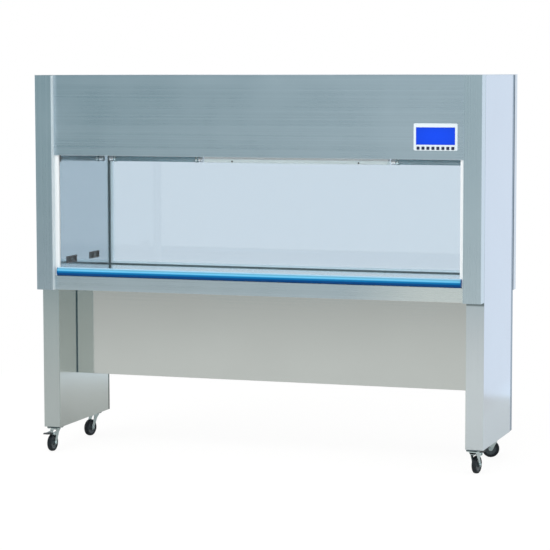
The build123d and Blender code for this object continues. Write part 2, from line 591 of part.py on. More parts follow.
def blower_motor():
    """Fan motor on its bracket, with the shaft that carries the impeller."""
    x0 = HOUSING_HALF + SCROLL_WALL
    along = Rot(0, 90, 0)
    can = Pos(x0 + MOTOR_LENGTH / 2, FAN_Y, FAN_Z) * along * Cylinder(MOTOR_RADIUS, MOTOR_LENGTH)
    shaft_start = FAN_WIDTH / 4
    shaft = Pos((shaft_start + x0) / 2 + 1, FAN_Y, FAN_Z) * along * Cylinder(SHAFT_RADIUS, x0 - shaft_start + 2)
    base = PLENUM_TOP + GAP
    xa, xb = x0 + 14, x0 + MOTOR_LENGTH - 4
    saddle = block(xa, xb, FAN_Y - MOTOR_RADIUS * 0.7, FAN_Y + MOTOR_RADIUS * 0.7, base, FAN_Z)
    saddle -= block(xa + 3, xb - 3, 0, DEPTH, base + 3, FAN_Z + 1)
    foot = block(xa, xb, FAN_Y - MOTOR_RADIUS * 0.9, FAN_Y + MOTOR_RADIUS * 0.9, base, base + 3)
    return can + shaft + saddle + foot


# ---- lamps --------------------------------------------------------------------------------------
def uv_tube():
    """Germicidal tube: glass and its two end caps in one sealed piece."""
    length = TUBE_OUTER_END - TUBE_INNER_END
    tube = Cylinder(TUBE_RADIUS - 0.4, length - 2)
    for side in (-1, 1):
        tube += Pos(0, 0, side * (length / 2 - 5)) * Cylinder(TUBE_RADIUS, 10)
    return Pos((TUBE_INNER_END + TUBE_OUTER_END) / 2, LAMP_Y, LAMP_Z) * Rot(0, 90, 0) * tube


def tube_clip(x):
    """Spring clip that hangs a tube from the ceiling."""
    r0, r1 = TUBE_RADIUS + GAP, TUBE_RADIUS + GAP + CLIP_WALL
    stem = Pos(0, (HEAD_LEVEL - LAMP_Z + r0 + 1) / 2) * Rectangle(10, HEAD_LEVEL - LAMP_Z - r0 - 1)
    band = Circle(r1) - Circle(r0) - Pos(0, -r1) * Rectangle(r0, r1)
    return run_across(Pos(LAMP_Y, LAMP_Z) * (band + stem), x - CLIP_WIDTH / 2, x + CLIP_WIDTH / 2)


def light_housing():
    """Channel of the working light, under the ceiling."""
    z0, z1 = LAMP_Z - TUBE_RADIUS + LIGHT_COVER + GAP, HEAD_LEVEL
    half = LIGHT_WIDTH / 2
    body = block(-LIGHT_HALF, LIGHT_HALF, LAMP_Y - half, LAMP_Y + half, z0, z1)
    return body - block(-LIGHT_HALF + SHEET, LIGHT_HALF - SHEET, LAMP_Y - half + SHEET,
                        LAMP_Y + half - SHEET, 0, z1 - SHEET)


def light_cover():
    """Opal cover of the working light."""
    z0 = LAMP_Z - TUBE_RADIUS
    half = LIGHT_WIDTH / 2
    body = block(-LIGHT_HALF, LIGHT_HALF, LAMP_Y - half, LAMP_Y + half, z0, z0 + LIGHT_COVER)
    body = fillet(body.edges().filter_by(Axis.X).group_by(Axis.Z)[0], 6)
    return body - block(-LIGHT_HALF + 2, LIGHT_HALF - 2, LAMP_Y - half + 2, LAMP_Y + half - 2, z0 + 2, HEIGHT)


# ---- controls and sockets -----------------------------------------------------------------------
def rounded_square(x, side, radius, y0, y1):
    """Square button or its hole, running front to back."""
    outline = Pos(x, BUTTON_Z) * RectangleRounded(side, side, radius)
    return extrude(Plane.XZ.offset(-y1) * outline, y1 - y0)


def control_bezel():
    """White surround of the display, with a hole for each button."""
    face = Pos(PANEL_X, PANEL_Z) * RectangleRounded(*BEZEL, BEZEL_RADIUS)
    plate = extrude(Plane.XZ * face, BEZEL_PROUD)
    plate = chamfer(plate.edges().group_by(Axis.Y)[0], 1.2)
    plate -= block(PANEL_X - SCREEN[0] / 2 - GAP, PANEL_X + SCREEN[0] / 2 + GAP, -2 * BEZEL_PROUD, 1,
                   SCREEN_Z - SCREEN[1] / 2 - GAP, SCREEN_Z + SCREEN[1] / 2 + GAP)
    for x in BUTTON_X:
        plate -= rounded_square(x, BUTTON + 2 * GAP, BUTTON_RADIUS + GAP, -2 * BEZEL_PROUD, 1)
    return plate


def display_screen():
    """Display glass set into the bezel."""
    return block(PANEL_X - SCREEN[0] / 2, PANEL_X + SCREEN[0] / 2, -BEZEL_PROUD + SCREEN_RECESS, SHEET,
                 SCREEN_Z - SCREEN[1] / 2, SCREEN_Z + SCREEN[1] / 2)


def control_box():
    """Shallow box behind the header that carries the display and the button wells."""
    x, z = BEZEL[0] / 2 - CONTROL_INSET, BEZEL[1] / 2 - CONTROL_INSET
    y0 = SHEET + GAP
    wall = button_back() + BUTTON_TRAVEL + 2 * GAP + 1.5 - y0
    box = block(PANEL_X - x, PANEL_X + x, y0, y0 + CONTROL_DEPTH, PANEL_Z - z, PANEL_Z + z)
    box -= block(PANEL_X - x + 2, PANEL_X + x - 2, y0 + wall, DEPTH, PANEL_Z - z + 2, PANEL_Z + z - 2)
    reach = BUTTON_PITCH * (BUTTON_COUNT - 1) / 2 + BUTTON / 2 + 2 * GAP
    return box - block(PANEL_X - reach, PANEL_X + reach, 0, button_back() + BUTTON_TRAVEL + GAP,
                       BUTTON_Z - BUTTON / 2 - GAP, BUTTON_Z + BUTTON / 2 + GAP)


def button_back():
    return SHEET + GAP + 1.5


def button(x):
    """Push button, guided by its hole in the bezel."""
    return rounded_square(x, BUTTON, BUTTON_RADIUS, -BEZEL_PROUD - BUTTON_PROUD, button_back())


def socket_outlet(y):
    """Twin outlet let into the left chamber wall."""
    plate = block(-INNER, -INNER + OUTLET_PROUD, y - OUTLET[0] / 2, y + OUTLET[0] / 2,
                  OUTLET_Z - OUTLET[1] / 2, OUTLET_Z + OUTLET[1] / 2)
    plate = fillet(plate.edges().filter_by(Axis.X), 3)
    body = block(-INNER - OUTLET_BODY, -INNER + 1, y - OUTLET[0] / 2 + 4, y + OUTLET[0] / 2 - 4,
                 OUTLET_Z - OUTLET[1] / 2 + 3, OUTLET_Z + OUTLET[1] / 2 - 3)
    outlet = plate + body
    for side in (-1, 1):
        well = Pos(-INNER + OUTLET_PROUD - 4, y + side * OUTLET[0] / 4, OUTLET_Z) * Box(10, 40, 22)
        outlet -= well
    return outlet


def power_inlet():
    """Recessed mains inlet on the back."""
    flange = block(INLET_X - INLET[0] / 2, INLET_X + INLET[0] / 2, DEPTH, DEPTH + 2.5,
                   INLET_Z - INLET[1] / 2, INLET_Z + INLET[1] / 2)
    flange = fillet(flange.edges().filter_by(Axis.Y), 4)
    body = block(INLET_X - INLET[0] / 2 + 3, INLET_X + INLET[0] / 2 - 3, DEPTH - 26, DEPTH + 1,
                 INLET_Z - INLET[1] / 2 + 3, INLET_Z + INLET[1] / 2 - 3)
    well = block(INLET_X - INLET[0] / 2 + 9, INLET_X + INLET[0] / 2 - 9, DEPTH - 16, DEPTH + 5,
                 INLET_Z - INLET[1] / 2 + 6, INLET_Z + INLET[1] / 2 - 6)
    pins = [block(INLET_X + dx - 1, INLET_X + dx + 1, DEPTH - 17, DEPTH - 2, INLET_Z - 3, INLET_Z + 3)
            for dx in (-8, 0, 8)]
    return flange + body - well + pins[0] + pins[1] + pins[2]


# ---- castors, drawn about the swivel axis with the wheel trailing towards +y ---------------------
PLATE_BOTTOM = LEG_BOTTOM - GAP - PLATE_THICK
RACE_BOTTOM = PLATE_BOTTOM - 3.5
HEAD_TOP = RACE_BOTTOM - GAP
HEAD_THICK = 4.0
HEAD_RADIUS = 20.0
ARM_WIDTH = 22.0                      # width of a fork side below its head
ARM_DROP = 16.0                       # how far below the head's top the slim arm starts
ARM_SET = 0.25 * TRAIL
FORK_INNER = WHEEL_WIDTH / 2 + FORK_SIDE_GAP
FORK_OUTER = FORK_INNER + FORK_WALL


def castor_plate():
    """Top plate with its pressed race and the rivet that the fork turns on."""
    plate = extrude(Plane.XY.offset(PLATE_BOTTOM) * RectangleRounded(PLATE, PLATE, 7), PLATE_THICK)
    race = Pos(0, 0, (RACE_BOTTOM + PLATE_BOTTOM) / 2) * Cylinder(HEAD_RADIUS, PLATE_BOTTOM - RACE_BOTTOM)
    rivet_end = HEAD_TOP - HEAD_THICK - GAP
    rivet = Pos(0, 0, (rivet_end + PLATE_BOTTOM) / 2) * Cylinder(KING_RADIUS, PLATE_BOTTOM - rivet_end)
    button_head = Pos(0, 0, rivet_end - 1.25) * Cylinder(KING_RADIUS + 3, 2.5)
    return plate + race + rivet + button_head


def fork_cheek():
    """Outline of one fork side: wide under the head, then a slim arm down to the axle."""
    head = Pos(0, HEAD_TOP - 2) * Rectangle(2 * HEAD_RADIUS, 4)
    waist = Pos(ARM_SET, HEAD_TOP - ARM_DROP) * Rectangle(ARM_WIDTH, 2)
    eye = Pos(TRAIL, WHEEL_RADIUS) * Circle(AXLE_RADIUS + 5)
    return make_hull([*head.edges(), *waist.edges()]) + make_hull([*waist.edges(), *eye.edges()])


def castor_fork(braked):
    """Pressed fork with its axle riveted in; braked forks also carry the pedal's pivot."""
    cheek = fork_cheek()
    if braked:
        lug = Pos(*PEDAL_PIVOT) * Circle(6)
        root = Pos(TRAIL / 2, PEDAL_PIVOT[1]) * Rectangle(8, 16)
        cheek = cheek + make_hull([*lug.edges(), *root.edges()])
    fork = run_across(cheek, -FORK_OUTER, -FORK_INNER) + run_across(cheek, FORK_INNER, FORK_OUTER)
    head = Pos(0, 0, HEAD_TOP - HEAD_THICK / 2) * (
        Cylinder(HEAD_RADIUS, HEAD_THICK) + Box(2 * FORK_OUTER, 2 * HEAD_RADIUS, HEAD_THICK))
    fork = fork + head
    fork -= Pos(0, 0, HEAD_TOP) * Cylinder(KING_RADIUS + SHAFT_FIT, 4 * HEAD_THICK)
    along = Rot(0, 90, 0)
    fork = fork + Pos(0, TRAIL, WHEEL_RADIUS) * along * Cylinder(AXLE_RADIUS, 2 * FORK_OUTER)
    if braked:
        fork += Pos(0, *PEDAL_PIVOT) * along * Cylinder(3, 2 * FORK_OUTER + 3)
    return fork


def castor_wheel():
    """Moulded wheel with a proud hub, bored for the axle."""
    wheel = Cylinder(WHEEL_RADIUS, WHEEL_WIDTH - 2 * HUB_PROUD) + Cylinder(HUB_RADIUS, WHEEL_WIDTH)
    wheel -= Cylinder(AXLE_RADIUS + SHAFT_FIT, 2 * WHEEL_WIDTH)
    return Pos(0, TRAIL, WHEEL_RADIUS) * Rot(0, 90, 0) * wheel


def brake_pedal():
    """Foot pedal on the fork's rear pivot."""
    y, z = PEDAL_PIVOT
    bar = [(y - 2, z - 3.5), (y - 2, z + 4.5), (y + 6, z + 6), (PEDAL_REACH - 8, z + 9), (PEDAL_REACH, z + 6),
           (PEDAL_REACH - 3, z + 3), (y + 10, z)]
    arm = run_across(make_face(Polyline(*bar, close=True)), -PEDAL_WIDTH / 2, PEDAL_WIDTH / 2)
    hub = Pos(0, y, z) * Rot(0, 90, 0) * Cylinder(5.5, PEDAL_WIDTH)
    return arm + hub - Pos(0, y, z) * Rot(0, 90, 0) * Cylinder(3 + SHAFT_FIT, 2 * PEDAL_WIDTH)


# ---- write every piece --------------------------------------------------------------------------
handed = {"side_panel": side_panel(), "leg_cover": leg_cover(), "front_post": front_post()}
for name, piece in handed.items():
    save(piece, name + "_right")
    save(mirrored(piece), name + "_left")
save(chamber_wall(False), "chamber_wall_right")
save(mirrored(chamber_wall(True)), "chamber_wall_left")

pairs = {"leg_base_plates": (leg_base(), 0), "rear_posts": (rear_post(), 0),
         "sash_guides": (sash_guide(), FACE_SET_BACK), "uv_tubes": (uv_tube(), 0)}
for name, (piece, set_back) in pairs.items():
    save(Compound([piece, mirrored(piece)]), name, set_back)

save(header_panel(), "header_panel", FACE_SET_BACK)
save(sill_rail(), "sill_rail", FACE_SET_BACK)
save(work_surface(), "work_surface")
save(Compound([worktop_beam(y) for y in BEAM_Y]), "worktop_beams")
save(modesty_panel(), "modesty_panel")
save(window_gasket(), "window_gasket")
save(rear_window(), "rear_window")
save(rear_panel(), "rear_panel")
save(sash_glass(), "sash_glass", FACE_SET_BACK)
save(sash_handle(), "sash_handle", FACE_SET_BACK)
save(limit_switch(), "sash_limit_switch")
save(top_cover(), "top_cover")
save(Compound([prefilter(-1), prefilter(1)]), "intake_prefilters")
save(air_diffuser(), "air_diffuser")
save(hepa_frame(), "hepa_frame")
save(hepa_media(), "hepa_media")
save(plenum_box(), "plenum_box")
save(pocket_plate(), "sash_pocket_plate")
save(blower_housing(), "blower_housing")
save(blower_impeller(), "blower_impeller")
save(blower_motor(), "blower_motor")
clips = [tube_clip(side * x) for side in (-1, 1) for x in (TUBE_INNER_END + CLIP_IN, TUBE_OUTER_END - CLIP_IN)]
save(Compound(clips), "tube_clips")
save(light_housing(), "light_housing")
save(light_cover(), "light_cover")
save(control_bezel(), "control_bezel", FACE_SET_BACK)
save(display_screen(), "display_screen", FACE_SET_BACK)
save(control_box(), "control_box", FACE_SET_BACK)
for number, x in enumerate(BUTTON_X, 1):
    save(button(x), f"button_{number}", FACE_SET_BACK)
save(Compound([socket_outlet(y) for y in OUTLET_Y]), "socket_outlets")
save(power_inlet(), "power_inlet")

plates = []
for place, (x, y, turn, braked) in CASTORS.items():
    seat = Pos(x, y, 0) * Rot(0, 0, turn)
    plates.append(Pos(x, y, 0) * castor_plate())
    save(seat * castor_fork(braked), f"castor_fork_{place}")
    save(seat * castor_wheel(), f"castor_wheel_{place}")
    if braked:
        save(seat * brake_pedal(), f"brake_pedal_{place}")
save(Compound(plates), "castor_plates")
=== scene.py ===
# %% [markdown]
# # A laminar flow clean bench
# A clean bench is a stainless cabinet on two legs. A fan and a filter in its head push clean air
# straight down over the worktop, behind a glass sash with a blue grip. The solid pieces come from a
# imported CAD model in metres, with +Z up, the front towards -Y and the origin on the floor.
# Here they get their finishes, and the small hardware that the CAD model leaves out is added.

# %% Load the frame
import bpy, bmesh, json
from math import cos, sin, pi, radians, atan2
from mathutils import Vector, Matrix


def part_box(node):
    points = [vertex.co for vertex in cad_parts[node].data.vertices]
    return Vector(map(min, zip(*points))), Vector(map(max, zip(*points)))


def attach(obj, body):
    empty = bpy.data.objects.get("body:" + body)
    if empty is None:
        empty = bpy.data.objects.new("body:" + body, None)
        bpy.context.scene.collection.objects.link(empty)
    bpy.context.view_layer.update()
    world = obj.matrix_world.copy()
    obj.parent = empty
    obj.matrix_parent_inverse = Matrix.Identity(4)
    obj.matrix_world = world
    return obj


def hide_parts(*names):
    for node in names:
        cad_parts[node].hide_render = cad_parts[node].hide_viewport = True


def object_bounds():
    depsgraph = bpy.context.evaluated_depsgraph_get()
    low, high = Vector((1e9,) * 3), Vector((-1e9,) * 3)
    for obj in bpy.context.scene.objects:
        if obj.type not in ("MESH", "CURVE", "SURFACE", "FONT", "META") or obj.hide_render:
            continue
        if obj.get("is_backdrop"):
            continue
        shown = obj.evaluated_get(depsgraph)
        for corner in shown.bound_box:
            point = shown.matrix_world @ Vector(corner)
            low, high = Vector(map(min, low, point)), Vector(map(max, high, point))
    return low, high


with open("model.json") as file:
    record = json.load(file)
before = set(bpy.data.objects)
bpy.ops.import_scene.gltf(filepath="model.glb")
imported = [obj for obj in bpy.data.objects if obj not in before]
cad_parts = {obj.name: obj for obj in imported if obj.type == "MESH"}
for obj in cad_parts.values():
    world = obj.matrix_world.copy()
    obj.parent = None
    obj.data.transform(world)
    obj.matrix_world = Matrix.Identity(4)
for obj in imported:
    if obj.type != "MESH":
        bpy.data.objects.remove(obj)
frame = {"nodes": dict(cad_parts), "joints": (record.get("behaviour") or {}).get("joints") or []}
cad_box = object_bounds()
nodes = frame["nodes"]

# %% [markdown]
# The camera stands well back with a long lens, a little right of the bench and above its top
# edge, so the verticals stay almost parallel. Its place and angles are set once, as plain numbers.

# %% Camera
EYE = (3.02425, -8.96847, 1.67443)
YAW, PITCH, ROLL = 18.6682, 5.3931, -0.0897     # degrees: to the left, down, and round the view
LENS, SENSOR = 142.857, 36                       # millimetres
SIGHT = 100                                      # metres, how far the camera sees


def aim(yaw, pitch, roll):
    """Rotation of a camera from its yaw to the left, its pitch down and its roll, in degrees."""
    y, p, r = radians(yaw), radians(pitch), radians(roll)
    ahead = Vector((-sin(y) * cos(p), cos(y) * cos(p), -sin(p)))
    right = Vector((cos(y), sin(y), 0))
    up = right.cross(ahead)
    turned_right = cos(r) * right + sin(r) * up
    turned_up = -sin(r) * right + cos(r) * up
    return Matrix((turned_right, turned_up, -ahead)).transposed()


camera_data = bpy.data.cameras.new("camera")
camera_data.lens, camera_data.sensor_width, camera_data.clip_end = LENS, SENSOR, SIGHT
camera = bpy.data.objects.new("camera", camera_data)
camera.matrix_world = Matrix.Translation(EYE) @ aim(YAW, PITCH, ROLL).to_4x4()
bpy.context.scene.collection.objects.link(camera)
bpy.context.scene.camera = camera
bpy.context.scene.view_settings.view_transform = "Standard"
print("camera", [round(v, 3) for v in camera.location])

# %% [markdown]
# A finish is a small formula: streaks along the sheet, a little dirt, a softer gloss where hands
# go. Written as arithmetic it stays short, so a socket is wrapped in a class whose operators add
# the matching Math nodes. Colours go through Mix nodes, because a Math node would turn them grey.

# %% Shader arithmetic
class S:
    """One output socket of a shader tree, with operators that add Math nodes."""

    def __init__(self, tree, socket):
        self.tree, self.socket = tree, socket

    def feed(self, target, value):
        """Link a socket to an input, or set the input to a plain value."""
        if isinstance(value, S):
            self.tree.links.new(value.socket, target)
        else:
            target.default_value = value

    def node(self, kind, out=0, settings=None, **inputs):
        """Any other node: its settings first, then a value or a link for each input by name."""
        made = self.tree.nodes.new(kind)
        for key, value in (settings or {}).items():
            setattr(made, key, value)
        for key, value in inputs.items():
            name = key.replace("_", " ")
            self.feed(made.inputs[int(name)] if name.isdigit() else made.inputs[name], value)
        return S(self.tree, made.outputs[out])

    def maths(self, operation, *values):
        """A Math node."""
        made = self.tree.nodes.new("ShaderNodeMath")
        made.operation = operation
        for target, value in zip(made.inputs, values):
            self.feed(target, value)
        return S(self.tree, made.outputs[0])

    def __add__(self, other): return self.maths("ADD", self, other)
    def __radd__(self, other): return self.maths("ADD", other, self)
    def __sub__(self, other): return self.maths("SUBTRACT", self, other)
    def __rsub__(self, other): return self.maths("SUBTRACT", other, self)
    def __mul__(self, other): return self.maths("MULTIPLY", self, other)
    def __rmul__(self, other): return self.maths("MULTIPLY", other, self)
    def __truediv__(self, other): return self.maths("DIVIDE", self, other)
    def __abs__(self): return self.maths("ABSOLUTE", self)
    def __gt__(self, other): return self.maths("GREATER_THAN", self, other)
    def __lt__(self, other): return self.maths("LESS_THAN", self, other)

    def blend(self, low, high):
        """Colour between low and high, by this value."""
        low, high = (value if isinstance(value, S) else (*value, 1.0) for value in (low, high))
        return self.node("ShaderNodeMix", out=2, settings={"data_type": "RGBA"},
                         **{"0": self, "6": low, "7": high})

    def share_of(self, colour):
        """This much of a colour."""
        return self.node("ShaderNodeVectorMath", settings={"operation": "SCALE"},
                         **{"0": colour, "Scale": self})

    def ramp(self, low, high):
        """0 below low, 1 above high, smooth between."""
        return self.node("ShaderNodeMapRange", settings={"interpolation_type": "SMOOTHSTEP"},
                         Value=self, From_Min=low, From_Max=high)

    def scaled(self, x, y, z):
        """This vector, stretched by one factor for each axis."""
        return self.node("ShaderNodeVectorMath", settings={"operation": "MULTIPLY"},
                         **{"0": self, "1": (x, y, z)})

    def axes(self):
        """The three parts of this vector."""
        made = self.tree.nodes.new("ShaderNodeSeparateXYZ")
        self.tree.links.new(self.socket, made.inputs[0])
        return [S(self.tree, output) for output in made.outputs]

    def noise(self, scale, detail):
        """Cloudy noise about 0.5: spots to the metre, and layers of finer ones."""
        return self.node("ShaderNodeTexNoise", Vector=self, Scale=scale, Detail=detail)


class Finish:
    """A material with one Principled shader, and the piece's own coordinates to draw on it with."""

    def __init__(self, name, **constants):
        self.material = bpy.data.materials.new(name)
        self.material.use_nodes = True
        self.tree = self.material.node_tree
        self.shader = self.tree.nodes["Principled BSDF"]
        self.output = self.tree.nodes["Material Output"]
        self.set(**constants)
        coordinates = self.tree.nodes.new("ShaderNodeTexCoord")
        self.place = S(self.tree, coordinates.outputs["Object"])

    def set(self, **values):
        """Shader inputs by name, with a space for each underscore."""
        for key, value in values.items():
            target = self.shader.inputs[key.replace("_", " ")]
            if isinstance(value, S):
                self.tree.links.new(value.socket, target)
            elif isinstance(value, tuple) and len(value) == 3 and len(target.default_value) == 4:
                target.default_value = (*value, 1.0)
            else:
                target.default_value = value
        return self

    def bump(self, height, distance, strength):
        """Relief, with the distance in metres from its lowest to its highest."""
        made = height.node("ShaderNodeBump", Height=height, Distance=distance, Strength=strength)
        return self.set(Normal=made)

    def give_way(self, share, other):
        """Let another shader node show instead of this one, by a share."""
        mixed = self.tree.nodes.new("ShaderNodeMixShader")
        sources = (share.socket, self.shader.outputs[0], other.outputs[0])
        for source, target in zip(sources, mixed.inputs):
            self.tree.links.new(source, target)
        self.tree.links.new(mixed.outputs[0], self.output.inputs["Surface"])
        return self


def ray(tree, *kinds):
    """1 for rays of these kinds, from a Light Path node."""
    path = tree.nodes.new("ShaderNodeLightPath")
    asked = [S(tree, path.outputs[f"Is {kind} Ray"]) for kind in kinds]
    return asked[0] if len(asked) == 1 else asked[0].maths("MAXIMUM", *asked)


print("shader arithmetic ready")

# %% [markdown]
# The studio is a pale floor under an even white sky. The side that the bench faces is dimmer,
# as the room behind a photographer is, and that is what gives the front sheets their grey. What is
# seen directly or through glass is plain white, so the dimmer side shows only in the steel.

# %% Floor and sky
FLOOR = (-9.0, 9.0, -7.0, 1.9)       # left, right, front and rear edge
FLOOR_GLOW = 0.85                    # share of plain white in the floor as it is seen directly
FLOOR_WHITE = 1.06                   # strength of that white
SKY_LIGHT = 0.80                     # on matt surfaces
ROOM_AHEAD = (0.93, 1.0, 1.10)       # what the steel mirrors behind the bench,
ROOM_BEHIND = (0.585, 0.67, 0.70)    # behind the camera
ROOM_CORNER = (0.20, 0.315, 0.345)   # and in the corner behind it on the left
WHITE = (1.0, 1.0, 1.0)

x0, x1, y0, y1 = FLOOR
floor_mesh = bpy.data.meshes.new("floor")
floor_mesh.from_pydata([(x0, y0, 0), (x1, y0, 0), (x1, y1, 0), (x0, y1, 0)], [], [(0, 1, 2, 3)])
floor = bpy.data.objects.new("floor", floor_mesh)
bpy.context.scene.collection.objects.link(floor)
floor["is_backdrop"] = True
paper = Finish("pale_floor", Base_Color=(0.80, 0.79, 0.765), Roughness=0.9)
glow = paper.tree.nodes.new("ShaderNodeEmission")
glow.inputs["Strength"].default_value = FLOOR_WHITE
paper.give_way(ray(paper.tree, "Camera", "Transmission") * FLOOR_GLOW, glow)
floor_mesh.materials.append(paper.material)

world = bpy.data.worlds.new("sky")
bpy.context.scene.world = world
world.use_nodes = True
tree = world.node_tree
direction = S(tree, tree.nodes.new("ShaderNodeTexCoord").outputs["Generated"])
across, along, height = direction.axes()                       # each from -1 to 1
behind = across.ramp(-0.19, -0.44).blend(ROOM_BEHIND, ROOM_CORNER)
mirrored = along.ramp(0.35, -0.75).blend(ROOM_AHEAD, behind)
mirrored = height.ramp(0.25, 0.8).blend(mirrored, WHITE)
sky = ray(tree, "Glossy").blend((SKY_LIGHT, SKY_LIGHT, SKY_LIGHT), mirrored)
sky = ray(tree, "Camera", "Transmission").blend(sky, WHITE)
tree.links.new(sky.socket, tree.nodes["Background"].inputs["Color"])
print("floor", FLOOR)

# %% [markdown]
# Two large soft lamps do the rest: one over the front edge, which adds its gloss to the light line
# painted along the top of the blue grip, and a weaker one from the right for the side panel and the
# leg.

# %% Lamps


def soft_lamp(name, place, target, size, power):
    """A rectangular lamp at a place, turned to face a target; power in watts."""
    data = bpy.data.lights.new(name, "AREA")
    data.shape, data.size, data.size_y, data.energy = "RECTANGLE", size[0], size[1], power
    lamp = bpy.data.objects.new(name, data)
    lamp.location = place
    lamp.rotation_euler = (Vector(target) - Vector(place)).to_track_quat("-Z", "Y").to_euler()
    bpy.context.scene.collection.objects.link(lamp)
    print("lamp", name, power, "W")


soft_lamp("overhead_lamp", (-0.6, -3.2, 4.6), (0, 0, 1.0), (5.0, 2.4), 95)
soft_lamp("right_lamp", (5.2, -1.6, 3.2), (0.9, 0, 0.9), (2.4, 3.0), 35)

# %% [markdown]
# Stainless sheet is rolled and then ground along its length. Up close that is a mass of fine
# scratches in one direction; from a few steps away it is a faint streaking and a gloss that
# smears sideways. Noise stretched along the sheet gives the streaks, in three widths. They drive
# the colour a little, the roughness more, and a shallow bump. Slow blotches stand for handling.

# %% Steel finishes
STREAK_SQUEEZE = 0.0008              # place along a streak is squeezed by this, so a streak runs long
SCRATCH_DEPTH, WAVE_DEPTH = 0.00012, 0.004


def ground_steel(name, colour, along="x", rough=0.30, streak=0.10, scratch=0.35):
    """Ground stainless sheet: colour as it is lit, streaks along x or z."""
    finish = Finish(name, Metallic=1.0)
    place = finish.place
    grain = place.scaled(*((STREAK_SQUEEZE, 1, 1) if along == "x" else (1, 1, STREAK_SQUEEZE)))
    wide, middle, fine = grain.noise(38, 2), grain.noise(260, 3), grain.noise(1400, 2)
    blotch = 0.10 * (place.noise(3.1, 3) - 0.5)
    streaks = 0.35 * (wide - 0.5) + 1.2 * (middle - 0.5) + 0.9 * (fine - 0.5)
    finish.set(Base_Color=(1 + streak * streaks + blotch).share_of(colour),
               Roughness=rough + 0.16 * (middle - 0.5) + blotch)
    return finish.bump(wide * 0.3 + fine, SCRATCH_DEPTH, scratch)


def polished_steel(name, colour, rough=0.07):
    """Bright annealed sheet: near a mirror, with faint waves and wiping marks."""
    finish = Finish(name, Metallic=1.0)
    place = finish.place
    wave = place.noise(2.2, 2)
    wipe = 0.05 * (place.scaled(1, 1, 0.15).noise(60, 3) - 0.5)
    finish.set(Base_Color=(1 + wipe).share_of(colour), Roughness=rough + wipe + 0.03 * wave)
    return finish.bump(wave, WAVE_DEPTH, 0.25)


header_steel = ground_steel("header_steel", (0.56, 0.645, 0.70), "x", 0.30, 0.16)
post_steel = ground_steel("post_steel", (0.55, 0.64, 0.685), "z", 0.30, 0.12)
side_steel_right = ground_steel("side_steel_right", (0.55, 0.615, 0.685), "z", 0.16, 0.05, 0.15)
# Painted shade: the left side steel is a darker copy of the right one.
side_steel_left = ground_steel("side_steel_left", (0.455, 0.508, 0.510), "z", 0.20, 0.05, 0.15)
leg_steel = ground_steel("leg_steel", (0.575, 0.63, 0.612), "z", 0.22, 0.09, 0.2)
panel_steel = ground_steel("panel_steel", (0.53, 0.565, 0.555), "x", 0.07, 0.04, 0.05)
chamber_steel = polished_steel("chamber_steel", (0.56, 0.635, 0.675))
worktop_steel = polished_steel("worktop_steel", (0.74, 0.79, 0.83), 0.10)
lid_steel = ground_steel("lid_steel", (0.62, 0.66, 0.69), "x", 0.32, 0.10)
print("steel finishes", len(bpy.data.materials))

# %% [markdown]
# Some sheets are not the same all over, and most of the second colours here are painted light.
# The return of a post that faces the header is painted nearly white, a painted highlight, and
# the left post is painted darker towards its foot, a painted shade. The sill rail is painted
# paler towards its right end, a painted highlight. The right side's front and inner faces are
# painted paler than its outer face, a painted reflection; that outer face is painted brighter near
# the floor, a painted reflection, and the front is painted dark where it passes up behind its
# post, a painted shadow. The left side is a darker copy of the steel, painted shade, and is
# painted paler above the knee, a painted reflection. Painted shade darkens the ends of the modesty
# panel and the rear of each leg cover. The rear panel is painted pale on its inner face, which
# shows round the window; a little glow there stands for the daylight that leaks in behind the
# glass. Each is a second colour that comes in by place.

# %% Second colours
SKIN = 0.0006                      # a face is what lies within this of the end of its box


def toned(finish, mask, second):
    """Blend the finish's colour towards a second one where the mask is 1."""
    first = S(finish.tree, finish.shader.inputs["Base Color"].links[0].from_socket)
    return finish.set(Base_Color=mask.blend(first, second))


RETURN_HIGHLIGHT, POST_SHADE_COLOUR = (0.70, 0.80, 0.84), (0.46, 0.545, 0.60)
POST_SHADE_TOP, POST_SHADE_FULL = 1.30, 0.75    # heights
return_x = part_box("front_post_right")[0].x
x, y, z = post_steel.place.axes()
return_face = abs(x) < return_x + SKIN
# Painted highlight: the post's return face is painted nearly white and is not metallic.
toned(post_steel, return_face, RETURN_HIGHLIGHT)
post_steel.set(Metallic=1 - return_face)
# Painted shade: the left post is painted darker towards its foot.
toned(post_steel, z.ramp(POST_SHADE_TOP, POST_SHADE_FULL) * (x < -return_x - SKIN), POST_SHADE_COLOUR)

RAIL_HIGHLIGHT_FROM, RAIL_HIGHLIGHT_TO = 0.35, 0.80      # along the rail, to the right of the middle
rail_steel = ground_steel("rail_steel", (0.53, 0.61, 0.655), "x", 0.30, 0.16)
x, y, z = rail_steel.place.axes()
# Painted highlight: the rail is painted paler towards its right end.
toned(rail_steel, x.ramp(RAIL_HIGHLIGHT_FROM, RAIL_HIGHLIGHT_TO), (0.74, 0.78, 0.76))

FOOT_REFLECTION_FROM, FOOT_REFLECTION_TO = 0.36, 0.22  # heights
SHADE_FROM, SHADE_TO = 0.700, 0.708    # heights, just under the end of the post
right_low, right_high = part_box("side_panel_right")
x, y, z = side_steel_right.place.axes()
outer_face = x > right_high.x - SKIN
front_face = y < right_low.y + SKIN
# Painted reflection: every face but the outer one is painted a paler tone.
toned(side_steel_right, 1 - outer_face, (0.592, 0.655, 0.69))
# Painted reflection: the outer face is painted brighter near the floor.
toned(side_steel_right, z.ramp(FOOT_REFLECTION_FROM, FOOT_REFLECTION_TO) * outer_face, (0.65, 0.77, 0.87))
# Painted shadow: the front face is painted dark from just under the end of the post upwards.
toned(side_steel_right, z.ramp(SHADE_FROM, SHADE_TO) * front_face, (0.22, 0.26, 0.27))

KNEE_FROM, KNEE_TO = 0.25, 0.65    # heights
x, y, z = side_steel_left.place.axes()
